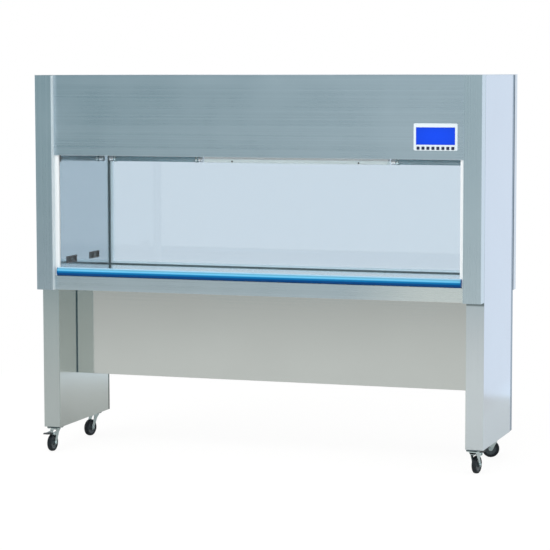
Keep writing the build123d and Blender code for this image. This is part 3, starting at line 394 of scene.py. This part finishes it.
# Painted reflection: the shaded left side is painted paler above the knee.
toned(side_steel_left, z.ramp(KNEE_FROM, KNEE_TO), (0.490, 0.556, 0.560))

PANEL_END_SHADE, LEG_REAR_SHADE = 0.0045, 0.013       # widths
x, y, z = panel_steel.place.axes()
# Painted shade: a dark band along each end of the modesty panel.
toned(panel_steel, abs(x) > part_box("modesty_panel")[1].x - PANEL_END_SHADE, (0.13, 0.19, 0.22))
x, y, z = leg_steel.place.axes()
# Painted shade: a dark band along the rear of each leg cover.
toned(leg_steel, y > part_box("leg_cover_left")[1].y - LEG_REAR_SHADE, (0.05, 0.08, 0.075))

LINING_HALF = 0.950                # half width: the lining stops short of the panel's side folds
rear_steel = ground_steel("rear_steel", (0.62, 0.66, 0.69), "x", 0.32, 0.10)
x, y, z = rear_steel.place.axes()
lining = (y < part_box("rear_panel")[1].y - SKIN) * (abs(x) < LINING_HALF)
toned(rear_steel, lining, (0.80, 0.88, 0.93))
daylight = lining.blend((0, 0, 0), (0.37, 0.38, 0.35))
rear_steel.set(Metallic=1 - lining, Emission_Color=daylight, Emission_Strength=1.0)
print("return face at", round(return_x, 4))

# %% [markdown]
# Plated steel is bright and slightly mottled. Zinc plate shows a soft crystal pattern in its
# gloss. Chrome on the castors is darker in its reflections and carries dust near the floor.

# %% Plated and painted metals
PLATE_RELIEF = 0.0001
DUST_HEIGHT = 0.08


def zinc_plate(name):
    """Bright zinc, with a crystal pattern in its colour and gloss."""
    finish = Finish(name, Metallic=1.0)
    spangle = finish.place.node("ShaderNodeTexVoronoi", out=1, Vector=finish.place, Scale=110.0)
    grey = spangle.axes()[0]
    finish.set(Base_Color=grey.blend((0.55, 0.57, 0.60), (0.66, 0.68, 0.70)),
               Roughness=0.30 + 0.14 * grey)
    return finish.bump(finish.place.noise(260, 2), PLATE_RELIEF, 0.3)


def chrome_plate(name, bright, dusty):
    """Polished chrome, dulled by dust near the floor."""
    finish = Finish(name, Metallic=1.0)
    place = finish.place
    dust = place.noise(38, 4)
    low = place.axes()[2].ramp(DUST_HEIGHT, 0.0)
    finish.set(Base_Color=(dust * low).blend(bright, dusty),
               Roughness=0.12 + 0.25 * low * dust + 0.04 * place.noise(300, 2))
    return finish.bump(place.noise(140, 2), PLATE_RELIEF, 0.2)


def enamel(name, colour, rough=0.35, peel=0.25):
    """Sprayed paint with the dimpled skin of a powder coat."""
    finish = Finish(name, Coat_Weight=0.15)
    place = finish.place
    shade = 1 + 0.06 * (place.noise(6, 3) - 0.5)
    finish.set(Base_Color=shade.share_of(colour),
               Roughness=rough + 0.08 * (place.noise(30, 2) - 0.5))
    return finish.bump(place.noise(700, 1), 0.0002, peel)


zinc_steel = zinc_plate("zinc_steel")
castor_chrome = chrome_plate("castor_chrome", (0.50, 0.60, 0.61), (0.20, 0.24, 0.25))
# Painted shade: the castor plates are a copy of the chrome, darkened nearly to black.
race_steel = chrome_plate("race_steel", (0.075, 0.10, 0.105), (0.05, 0.05, 0.05))
corner_enamel = enamel("corner_enamel", (0.130, 0.210, 0.30), 0.30, 0.2)
motor_enamel = enamel("motor_enamel", (0.05, 0.055, 0.06), 0.4, 0.4)
ceiling_paint = enamel("ceiling_paint", (0.80, 0.83, 0.84), 0.45)
frame_anodised = ground_steel("frame_anodised", (0.70, 0.72, 0.74), "x", 0.4, 0.06)
print("plated and painted metals done")

# %% [markdown]
# Moulded plastic is matt with a fine grain, and lighter where it has been rubbed. Rubber is
# darker and drier. The blue grip is an extrusion: die lines run along it under a clear gloss.

# %% Plastics and rubber


def moulded(name, colour, rough=0.42, grain=900, depth=0.0002, worn=(0, 0, 0), coat=0.0):
    """Moulded plastic or rubber; worn is what rubbing adds to its colour in patches."""
    finish = Finish(name, Coat_Weight=coat, Coat_Roughness=0.08)
    place = finish.place
    rub = place.noise(45, 4).ramp(0.55, 0.8) * 0.35
    light = tuple(c + w for c, w in zip(colour, worn))
    finish.set(Base_Color=rub.blend(colour, light),
               Roughness=rough + 0.15 * (place.noise(60, 3) - 0.5))
    return finish.bump(place.noise(grain, 2), depth, 0.3)


def extruded_blue(name, low, high):
    """Blue extrusion, with painted shade along its lower edge and painted highlights in pale bands.
    """
    finish = Finish(name, Coat_Weight=0.08, Coat_Roughness=0.06, Specular_IOR_Level=0.06)
    place = finish.place
    die_lines = place.scaled(0.001, 1, 1).noise(700, 2)
    rise = (place.axes()[2] - low.z) / (high.z - low.z)          # 0 at the foot, 1 at the top
    body = place.noise(9, 3).blend((0.002, 0.170, 0.43), (0.004, 0.190, 0.48))
    # Painted light by height: painted shade along the lower edge, painted highlights in the pale
    # bands above.
    for start, end, painted_band in ((0.46, 0.30, (0.0, 0.068, 0.255)), (0.52, 0.66, (0.15, 0.56, 0.84)),
                             (0.72, 0.80, (0.12, 0.40, 0.60)), (0.86, 0.95, (0.40, 0.66, 0.82))):
        body = rise.ramp(start, end).blend(body, painted_band)
    finish.set(Base_Color=body, Roughness=0.26 + 0.10 * die_lines)
    return finish.bump(die_lines, 0.0001, 0.10)


DARKER, LIGHTER = (-0.03, -0.03, -0.03), (0.03, 0.03, 0.03)
guide_plastic = moulded("guide_plastic", (0.92, 0.955, 0.975), 0.35, worn=DARKER)
bezel_plastic = moulded("bezel_plastic", (0.78, 0.87, 0.92), 0.38, worn=DARKER)
button_plastic = moulded("button_plastic", (0.010, 0.014, 0.055), 0.45, worn=(0.03, 0.03, 0.06))
black_plastic = moulded("black_plastic", (0.022, 0.025, 0.028), 0.42, worn=LIGHTER)
socket_plastic = moulded("socket_plastic", (0.055, 0.060, 0.070), 0.40, worn=(0.05, 0.05, 0.05))
wheel_rubber = moulded("wheel_rubber", (0.007, 0.012, 0.017), 0.5, 420, 0.0005, LIGHTER)
wheel_rubber.set(Specular_IOR_Level=0.3)
wheel_hub = moulded("wheel_hub", (0.045, 0.060, 0.070), 0.36, worn=(0.06, 0.06, 0.06))
grip_blue = extruded_blue("grip_blue", *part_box("sash_handle"))


SEAL_FACE = 0.0005                 # depth of the dark face


def glazing_seal(name, front):
    """Two rubbers in one section: a dark face towards the chamber on a pale body."""
    finish = moulded(name, (0.045, 0.125, 0.155), 0.6, 500, 0.0004, (0.01, 0.02, 0.02))
    return toned(finish, finish.place.axes()[1] > front + SEAL_FACE, (0.55, 0.65, 0.71))


glazing_rubber = glazing_seal("glazing_rubber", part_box("window_gasket")[0].y)
print("plastics done")

# %% [markdown]
# Glass is a Principled shader set to transmit. Rays that look for a lamp pass straight through it,
# by a Mix Shader on Light Path's Is Shadow Ray, or the chamber behind the sash would go dark.

# %% Glass
GLASS_IOR = 1.45


def glazing(name, tint):
    """Clear sheet glass with a tint."""
    finish = Finish(name, Base_Color=tint, Roughness=0.0, IOR=GLASS_IOR, Transmission_Weight=1.0)
    clear = finish.tree.nodes.new("ShaderNodeBsdfTransparent")
    clear.inputs["Color"].default_value = (*tint, 1.0)
    return finish.give_way(ray(finish.tree, "Shadow"), clear)


sash_glazing = glazing("sash_glazing", (0.97, 0.985, 0.985))
window_glazing = glazing("window_glazing", (0.585, 0.69, 0.79))
print("glass done")

# %% [markdown]
# The display is lit from behind, brighter in the middle, with the fine dot pitch of a small panel.
# The light cover is an opal strip that glows a little. The lamps are unlit quartz, glossy and grey
# green. The filter's web is here too, matt and a little soiled.

# %% Display, light, lamps and filter web
DOTS = 2400                        # radians to the metre
SCREEN_BLUE = (0.001, 0.062, 0.80)


def lit_display(name, low, high):
    """A back-lit panel, brightest in the middle of its box."""
    finish = Finish(name, Base_Color=(0.002, 0.01, 0.12), Roughness=0.22, Specular_IOR_Level=0.15,
                    Coat_Weight=0.2, Coat_Roughness=0.03)
    x, y, z = finish.place.axes()
    u = (x - (low.x + high.x) / 2) / ((high.x - low.x) / 2)
    v = (z - (low.z + high.z) / 2) / ((high.z - low.z) / 2)
    away = (u * u + v * v) * 0.5
    dots = x.maths("SINE", x * DOTS) * z.maths("SINE", z * DOTS)
    level = 1 - 0.22 * away + 0.03 * dots
    return finish.set(Emission_Color=level.share_of(SCREEN_BLUE), Emission_Strength=1.0)


display_glass = lit_display("display_glass", *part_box("display_screen"))
opal = moulded("opal", (0.80, 0.84, 0.85), 0.3, coat=0.3)
opal.set(Emission_Color=(0.75, 1.0, 1.0), Emission_Strength=0.21)
quartz = moulded("quartz", (0.20, 0.38, 0.46), 0.12, 500, 0.00005, (0.03, 0.03, 0.03), coat=1.0)
lamp_cap = ground_steel("lamp_cap", (0.72, 0.74, 0.76), "x", 0.28, 0.06)


def filter_web(name):
    """Pleated non-woven web: matt, fibrous and a little grey where the air has come through."""
    finish = Finish(name, Sheen_Weight=0.3)
    fibre = finish.place.noise(850, 4)
    soiled = finish.place.noise(7, 3).ramp(0.35, 0.9)
    grey = soiled * 0.5 + fibre * 0.3
    finish.set(Base_Color=grey.blend((0.86, 0.86, 0.83), (0.62, 0.62, 0.58)),
               Roughness=0.88 + 0.1 * (fibre - 0.5))
    return finish.bump(fibre, 0.0005, 0.6)


web = filter_web("web")
print("materials", len(bpy.data.materials))

# %% [markdown]
# Each CAD node keeps its shape and takes its finish through its material slots.

# %% Finishes of the CAD nodes
FINISH_OF = {
    "header_panel": header_steel, "sill_rail": rail_steel,
    "front_post_left": post_steel, "front_post_right": post_steel,
    "side_panel_left": side_steel_left, "side_panel_right": side_steel_right,
    "leg_cover_left": leg_steel, "leg_cover_right": leg_steel,
    "modesty_panel": panel_steel, "rear_panel": rear_steel, "top_cover": lid_steel,
    "chamber_wall_left": chamber_steel, "chamber_wall_right": chamber_steel,
    "work_surface": worktop_steel, "rear_posts": corner_enamel,
    "leg_base_plates": zinc_steel, "worktop_beams": zinc_steel, "plenum_box": zinc_steel,
    "sash_pocket_plate": zinc_steel, "blower_housing": zinc_steel, "blower_impeller": zinc_steel,
    "blower_motor": motor_enamel, "hepa_frame": frame_anodised, "hepa_media": web,
    "intake_prefilters": web, "air_diffuser": ceiling_paint, "light_housing": ceiling_paint,
    "light_cover": opal, "tube_clips": castor_chrome, "uv_tubes": quartz,
    "rear_window": window_glazing, "sash_glass": sash_glazing, "window_gasket": glazing_rubber,
    "sash_handle": grip_blue, "sash_guides": guide_plastic, "sash_limit_switch": black_plastic,
    "control_bezel": bezel_plastic, "display_screen": display_glass, "control_box": black_plastic,
    "socket_outlets": socket_plastic, "power_inlet": black_plastic, "castor_plates": race_steel,
}
FINISH_OF_KIND = {"castor_fork": castor_chrome, "castor_wheel": wheel_rubber,
                  "brake_pedal": black_plastic, "button": button_plastic}
for name, node in nodes.items():
    of_kind = [finish for kind, finish in FINISH_OF_KIND.items() if name.startswith(kind)]
    finish = of_kind[0] if of_kind else FINISH_OF[name]
    if not node.material_slots:
        node.data.materials.append(finish.material)
    for slot in node.material_slots:
        slot.material = finish.material
print("finished", len(nodes), "nodes")

# %% [markdown]
# The small turned and pressed hardware is built from outlines. A turned piece is its half section
# spun about an axis; a pressed one is an outline with thickness and a softened rim.

# %% Shape helpers


def finished_piece(name, mesh, finish, body, sharp=35):
    """A new piece: its mesh, its finish and the body it rides on."""
    made = bpy.data.objects.new(name, mesh)
    bpy.context.scene.collection.objects.link(made)
    mesh.materials.append(finish.material)
    for face in mesh.polygons:
        face.use_smooth = True
    mesh.set_sharp_from_angle(angle=radians(sharp))
    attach(made, body)
    return made


TINY = 1e-6                        # two lengths this close are one


def turned(profile, steps):
    """Half section of (radius, along) points spun about Z.

    A section that starts or ends on the axis is closed there by a point.
    """
    shape = bmesh.new()
    turns = [2 * pi * k / steps for k in range(steps)]
    rings = []
    for radius, along in profile:
        if radius < TINY:
            rings.append([shape.verts.new((0, 0, along))])
        else:
            rings.append([shape.verts.new((radius * cos(a), radius * sin(a), along)) for a in turns])
    loops = list(zip(rings, rings[1:]))
    if len(rings[0]) > 1 and len(rings[-1]) > 1:
        loops.append((rings[-1], rings[0]))
    for a, b in loops:
        for k in range(steps):
            after = (k + 1) % steps
            corners = [a[k % len(a)], a[after % len(a)], b[after % len(b)], b[k % len(b)]]
            unique = list(dict.fromkeys(corners))
            if len(unique) > 2:
                shape.faces.new(unique)
    bmesh.ops.recalc_face_normals(shape, faces=shape.faces)
    return shape


def along_axis(axis, centre):
    """Matrix that lays Z along an axis and moves the piece to its centre."""
    return Matrix.Translation(centre) @ Vector(axis).to_track_quat("Z", "Y").to_matrix().to_4x4()


def joined(name, parts):
    """One mesh from several shapes, each with its matrix."""
    whole = bmesh.new()
    for shape, matrix in parts:
        copy = bpy.data.meshes.new("part")
        shape.to_mesh(copy)
        copy.transform(matrix)
        whole.from_mesh(copy)
        bpy.data.meshes.remove(copy)
        shape.free()
    mesh = bpy.data.meshes.new(name)
    whole.to_mesh(mesh)
    whole.free()
    return mesh


def soft_block(low, high, radius):
    """Block between two corners with rounded edges."""
    shape = bmesh.new()
    bmesh.ops.create_cube(shape, size=1.0)
    size, middle = Vector(high) - Vector(low), (Vector(high) + Vector(low)) / 2
    for vert in shape.verts:
        vert.co = Vector([c * s for c, s in zip(vert.co, size)]) + middle
    bmesh.ops.bevel(shape, geom=shape.edges[:], offset=radius, segments=3, profile=0.5,
                    affect="EDGES")
    return shape


def thickened(shape, faces, shift):
    """Push a copy of some faces away by a vector, with walls between."""
    made = bmesh.ops.extrude_face_region(shape, geom=faces)
    moved = [item for item in made["geom"] if isinstance(item, bmesh.types.BMVert)]
    bmesh.ops.translate(shape, verts=moved, vec=shift)


HERE = Matrix.Identity(4)
print("shape helpers ready")

# %% [markdown]
# Each castor wheel is a rubber tyre on a moulded hub with a cover over its bearing. The tyre's
# section is crowned, with a rounded shoulder, and stands for the CAD wheel. The hub is a piece of
# its own, because it is lighter and glossier than the rubber.

# %% Castor wheels
JOINTS = {joint["name"]: joint for joint in frame["joints"]}
PLACES = ("front_left", "front_right", "rear_left", "rear_right")
TYRE = [(0.0245, 0.0080), (0.0270, 0.0092), (0.0310, 0.0098), (0.0342, 0.0093), (0.0362, 0.0075),
        (0.0372, 0.0045), (0.0375, 0.0)]
HUB = [(0.0046, 0.0118), (0.0100, 0.0120), (0.0108, 0.0112), (0.0110, 0.0078), (0.0125, 0.0066),
       (0.0205, 0.0062), (0.0222, 0.0078), (0.0247, 0.0082)]


def mirrored_section(half):
    """Both halves of a section, from the points on its +Z side."""
    return half + [(r, -a) for r, a in reversed(half) if a > 0]


def axle_of(place):
    """Direction and middle of a castor's axle."""
    roll = JOINTS[f"wheel_roll_{place}"]
    return Vector(roll["axis"]), Vector(roll["pos_m"])


for place in PLACES:
    axle, centre = axle_of(place)
    pose = along_axis(axle, centre)
    tyre = joined("tyre", [(turned(mirrored_section(TYRE), 72), pose)])
    tyre = finished_piece(f"castor_tyre_{place}", tyre, wheel_rubber, f"wheel_{place}")
    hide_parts(f"castor_wheel_{place}")
    hub = joined("hub", [(turned(mirrored_section(HUB), 60), pose)])
    finished_piece(f"castor_hub_{place}", hub, wheel_hub, f"wheel_{place}")
print("castor wheels", len(PLACES))

# %% [markdown]
# The axle ends in a hexagon nut on each side, a brake's pivot in a rivet, and four bolts hold each
# castor plate to its leg. A nut is turned first, and then everything above its washer is pulled in
# to a hexagon.

# %% Castor hardware
NUT = [(0.0, 0.0), (0.0078, 0.0), (0.0078, 0.0009), (0.0068, 0.0010), (0.0068, 0.0040),
       (0.0060, 0.0046), (0.0026, 0.0046), (0.0026, 0.0058), (0.0, 0.0062)]
BOLT = [(0.0, 0.0), (0.0066, 0.0), (0.0066, 0.0010), (0.0056, 0.0011), (0.0056, 0.0036),
        (0.0048, 0.0042), (0.0, 0.0042)]
RIVET = [(0.0, 0.0), (0.0046, 0.0), (0.0043, 0.0012), (0.0030, 0.0020), (0.0, 0.0023)]
WASHER_TOP = 0.0010
THREAD_OUT = 0.0035          # what lies nearer the axis is the end of the thread, and stays round
HEX_FLAT = 0.866             # half width over the flats for a half width of 1 over the corners


def hexagonal(profile):
    """Turned section whose taller part is a hexagon and whose washer stays round."""
    shape = turned(profile, 48)
    for vert in shape.verts:
        if vert.co.z > WASHER_TOP + TINY and vert.co.xy.length > THREAD_OUT:
            angle = atan2(vert.co.y, vert.co.x) % (pi / 3) - pi / 6
            vert.co.xy *= HEX_FLAT / cos(angle)
    return shape


FORK_FACE = 0.0157           # outer face of a fork side from the wheel's middle
PEDAL_FACE = 0.0167          # outer face of a pedal's arm from the same place
for place in PLACES:
    axle, centre = axle_of(place)
    brake = JOINTS.get(f"brake_press_{place}")
    parts = [(hexagonal(NUT), along_axis(way, centre + FORK_FACE * way)) for way in (axle, -axle)]
    if brake:
        pivot = Vector(brake["pos_m"])
        parts += [(turned(RIVET, 32), along_axis(way, pivot + PEDAL_FACE * way))
                  for way in (axle, -axle)]
    finished_piece(f"castor_nuts_{place}", joined("nuts", parts), castor_chrome, f"fork_{place}")

PLATE_HALF = 0.022           # bolt from the plate's middle
PLATE_DOWN = 0.0033          # underside of the plate below the leg's foot
bolts = []
for place in PLACES:
    swivel = Vector(JOINTS[f"castor_swivel_{place}"]["pos_m"])
    for a in (-1, 1):
        for b in (-1, 1):
            seat = swivel + Vector((a * PLATE_HALF, b * PLATE_HALF, -PLATE_DOWN))
            bolts.append((hexagonal(BOLT), along_axis((0, 0, -1), seat)))
finished_piece("castor_plate_bolts", joined("bolts", bolts), castor_chrome, "cabinet")
print("castor bolts", len(bolts))

# %% [markdown]
# The push buttons are square caps with softened edges. They stand for the CAD buttons, each on
# its own body, so each one still presses.

# %% Buttons
BUTTONS = 8
BUTTON_ROUND = 0.0006
for number in range(1, BUTTONS + 1):
    cap = joined("cap", [(soft_block(*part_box(f"button_{number}"), BUTTON_ROUND), HERE)])
    cap = finished_piece(f"button_cap_{number}", cap, button_plastic, f"button_{number}",
                         60)
    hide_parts(f"button_{number}")
print("buttons", BUTTONS)

# %% [markdown]
# A germicidal lamp is a quartz tube with a metal cap and two pins at each end. Each is turned in
# one go: the tube with its shoulders drawn in, the caps with a rolled groove where they are crimped.

# %% Lamps of the ceiling
low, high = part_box("uv_tubes")
tube_y, tube_z, tube_end = (low.y + high.y) / 2, (low.z + high.z) / 2, high.x
TUBE_LONG = 0.457
tube_start = tube_end - TUBE_LONG
GLASS = [(0.0, 0.012), (0.0085, 0.012), (0.0110, 0.0145), (0.0122, 0.019), (0.0122, 0.438),
         (0.0110, 0.4425), (0.0085, 0.445), (0.0, 0.445)]
CAP = [(0.0, 0.0), (0.0112, 0.0), (0.0128, 0.0015), (0.0130, 0.0085), (0.0124, 0.0100),
       (0.0124, 0.0110), (0.0130, 0.0125), (0.0130, 0.0195), (0.0124, 0.0205), (0.0, 0.0205)]
PIN = [(0.0, -0.0060), (0.0009, -0.0055), (0.0012, -0.0045), (0.0012, 0.001), (0.0, 0.001)]
PIN_APART = 0.012
tubes, caps = [], []
for side in (-1, 1):
    inner = along_axis((side, 0, 0), (side * tube_start, tube_y, tube_z))
    outer = along_axis((-side, 0, 0), (side * tube_end, tube_y, tube_z))
    tubes.append((turned(GLASS, 40), inner))
    for end in (inner, outer):
        caps.append((turned(CAP, 40), end))
        for aside in (-PIN_APART / 2, PIN_APART / 2):
            caps.append((turned(PIN, 12), end @ Matrix.Translation((0, aside, 0))))
lamps = finished_piece("lamp_tubes", joined("tubes", tubes), quartz, "cabinet")
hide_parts("uv_tubes")
finished_piece("lamp_caps", joined("caps", caps), lamp_cap, "cabinet")
print("lamps", len(tubes), "tubes,", len(caps), "cap pieces")

# %% [markdown]
# All the sheet metal screws are pan heads: a low dome with a round recess for the driver. Two of
# them hold the light cover.

# %% Screws
HEAD = [(0.0, 0.0), (1.0, 0.0), (1.0, 0.12), (0.93, 0.30), (0.74, 0.46), (0.45, 0.56), (0.30, 0.58),
        (0.24, 0.30), (0.0, 0.24)]             # for a radius of 1
HEAD_HEIGHT = 0.58


def pan_head(radius, height):
    """Screw head with a round drive recess, its top a given height above the seat."""
    return turned([(r * radius, a * height / HEAD_HEIGHT) for r, a in HEAD], 20)


def screws(name, seats, outward, radius, height, finish, body):
    """One piece made of a screw head at each seat, all facing the same way."""
    heads = [(pan_head(radius, height), along_axis(outward, seat)) for seat in seats]
    finished_piece(name, joined("heads", heads), finish, body)
    print(name, len(seats))


low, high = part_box("light_cover")
COVER_SCREW_SHARE = 0.69           # of the cover's half length
COVER_SCREW_UP = 0.007             # from the cover's lower edge
seats = [(side * high.x * COVER_SCREW_SHARE, low.y, low.z + COVER_SCREW_UP) for side in (-1, 1)]
screws("light_cover_screws", seats, (0, -1, 0), 0.0042, 0.0022, motor_enamel, "cabinet")

# %% [markdown]
# Each socket outlet has two wells with a screw between them. At the bottom of a well is a moulded
# face with three slots for the pins of a plug. The face is filled between its outline and the
# slots, then given thickness.

# %% Socket faces
def slotted_plate(width, height, slots, thick):
    """Rectangular plate across X and Y with rectangular holes (x, y, width, height), on z = 0."""
    shape = bmesh.new()
    for x, y, w, h in [(0, 0, width, height), *slots]:
        corners = [shape.verts.new((x + a * w / 2, y + b * h / 2, 0))
                   for a, b in ((-1, -1), (1, -1), (1, 1), (-1, 1))]
        for a, b in zip(corners, corners[1:] + corners[:1]):
            shape.edges.new((a, b))
    bmesh.ops.triangle_fill(shape, edges=shape.edges[:], use_beauty=True, normal=(0, 0, 1))
    thickened(shape, shape.faces[:], (0, 0, thick))
    bmesh.ops.recalc_face_normals(shape, faces=shape.faces)
    return shape


PIN_SLOTS = [(-0.0080, -0.0020, 0.0022, 0.0070), (0.0080, -0.0020, 0.0022, 0.0070),
             (0.0, 0.0055, 0.0070, 0.0022)]
FACE_WIDE, FACE_HIGH, FACE_THICK = 0.0380, 0.0200, 0.0020
WELL_FLOOR = -0.0065                       # bottom of a well behind the chamber wall
ONTO_WALL = Matrix(((0, 0, 1, 0), (1, 0, 0, 0), (0, 1, 0, 0), (0, 0, 0, 1)))  # Z turns to X, X to Y
low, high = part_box("socket_outlets")
wall_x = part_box("chamber_wall_left")[1].x
outlet_z = (low.z + high.z) / 2
OUTLET_LONG = 0.106
outlet_y = [low.y + OUTLET_LONG / 2, high.y - OUTLET_LONG / 2]
faces = []
for y in outlet_y:
    for side in (-1, 1):
        seat = (wall_x + WELL_FLOOR, y + side * OUTLET_LONG / 4, outlet_z)
        faces.append((slotted_plate(FACE_WIDE, FACE_HIGH, PIN_SLOTS, FACE_THICK),
                      Matrix.Translation(seat) @ ONTO_WALL))
finished_piece("socket_faces", joined("faces", faces), wheel_hub, "cabinet", 20)
screws("socket_screws", [(high.x, y, outlet_z) for y in outlet_y], (1, 0, 0), 0.0030, 0.0012,
       castor_chrome, "cabinet")
print("socket faces", len(faces))

# %% [markdown]
# The grip is a hollow extrusion, so a moulded cap closes each end. A cap follows the grip's
# section a little inside its outline: flat behind, and rounded where the hand goes.

# %% Grip end caps
low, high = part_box("sash_handle")
CAP_LESS = 0.0006                  # cap inside the grip's outline
CAP_THICK = 0.0030
CAP_BACK = 0.0125                  # depth of the cap from the grip's front
CAP_ROUND = 0.0115
CAP_RIM = 0.0009                   # softening of the outer rim
ROUND_STEPS = 7


def cap_outline():
    """Outline in (y, z): two straight corners behind, two round ones in front."""
    front, back = low.y + CAP_LESS, low.y + CAP_BACK
    bottom, top = low.z + CAP_LESS, high.z - CAP_LESS
    points = [(back, bottom), (back, top)]
    for z, start in ((top - CAP_ROUND, pi / 2), (bottom + CAP_ROUND, pi)):
        for k in range(ROUND_STEPS + 1):
            turn = start + pi / 2 * k / ROUND_STEPS
            points.append((front + CAP_ROUND * (1 + cos(turn)), z + CAP_ROUND * sin(turn)))
    return points


def end_cap(side):
    """One cap, on the left (-1) or the right (1)."""
    shape = bmesh.new()
    face = shape.faces.new([shape.verts.new((side * high.x, y, z)) for y, z in cap_outline()])
    thickened(shape, [face], (side * CAP_THICK, 0, 0))
    outside = high.x + CAP_THICK - TINY
    rim = [edge for edge in shape.edges if all(abs(v.co.x) > outside for v in edge.verts)]
    bmesh.ops.bevel(shape, geom=rim, offset=CAP_RIM, segments=2, profile=0.5, affect="EDGES")
    bmesh.ops.recalc_face_normals(shape, faces=shape.faces)
    return shape


cap_blue = moulded("cap_blue", (0.004, 0.085, 0.28), 0.35, worn=(0.02, 0.03, 0.05))
caps = joined("caps", [(end_cap(side), HERE) for side in (-1, 1)])
finished_piece("grip_end_caps", caps, cap_blue, "sash", 40)
print("grip end caps", 2)

# %% [markdown]
# The rear panel is screwed to the corner posts down both sides, and to the frame along its top and
# bottom edges. The mains inlet has a screw at each end of its flange.

# %% Screws of the back
low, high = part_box("rear_panel")
EDGE_IN = 0.020                    # screw from the panel's edge
SIDE_SCREWS, TOP_SCREWS = 6, 7
left, right = low.x + EDGE_IN, high.x - EDGE_IN
bottom, top = low.z + EDGE_IN, high.z - EDGE_IN
rises = [bottom + (top - bottom) * k / (SIDE_SCREWS - 1) for k in range(SIDE_SCREWS)]
runs = [left + (right - left) * (k + 1) / (TOP_SCREWS + 1) for k in range(TOP_SCREWS)]
seats = [(x, high.y, z) for x in (left, right) for z in rises]
seats += [(x, high.y, z) for z in (bottom, top) for x in runs]
screws("rear_panel_screws", seats, (0, 1, 0), 0.0045, 0.0020, castor_chrome, "cabinet")

low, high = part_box("power_inlet")
INLET_EDGE = 0.0045
INLET_HEAD = 0.0010                # height of a head, sunk until its top is level with the flange
middle_z = (low.z + high.z) / 2
seats = [(x, high.y - INLET_HEAD, middle_z) for x in (low.x + INLET_EDGE, high.x - INLET_EDGE)]
screws("power_inlet_screws", seats, (0, 1, 0), 0.0026, INLET_HEAD, castor_chrome, "cabinet")

# %% [markdown]
# Last, the box of the finished model is written beside the CAD box, to show that they agree.

finished_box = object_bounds()
for title, box in (("cad box", cad_box), ("visual box", finished_box)):
    print(title, [[round(v, 4) for v in corner] for corner in box])
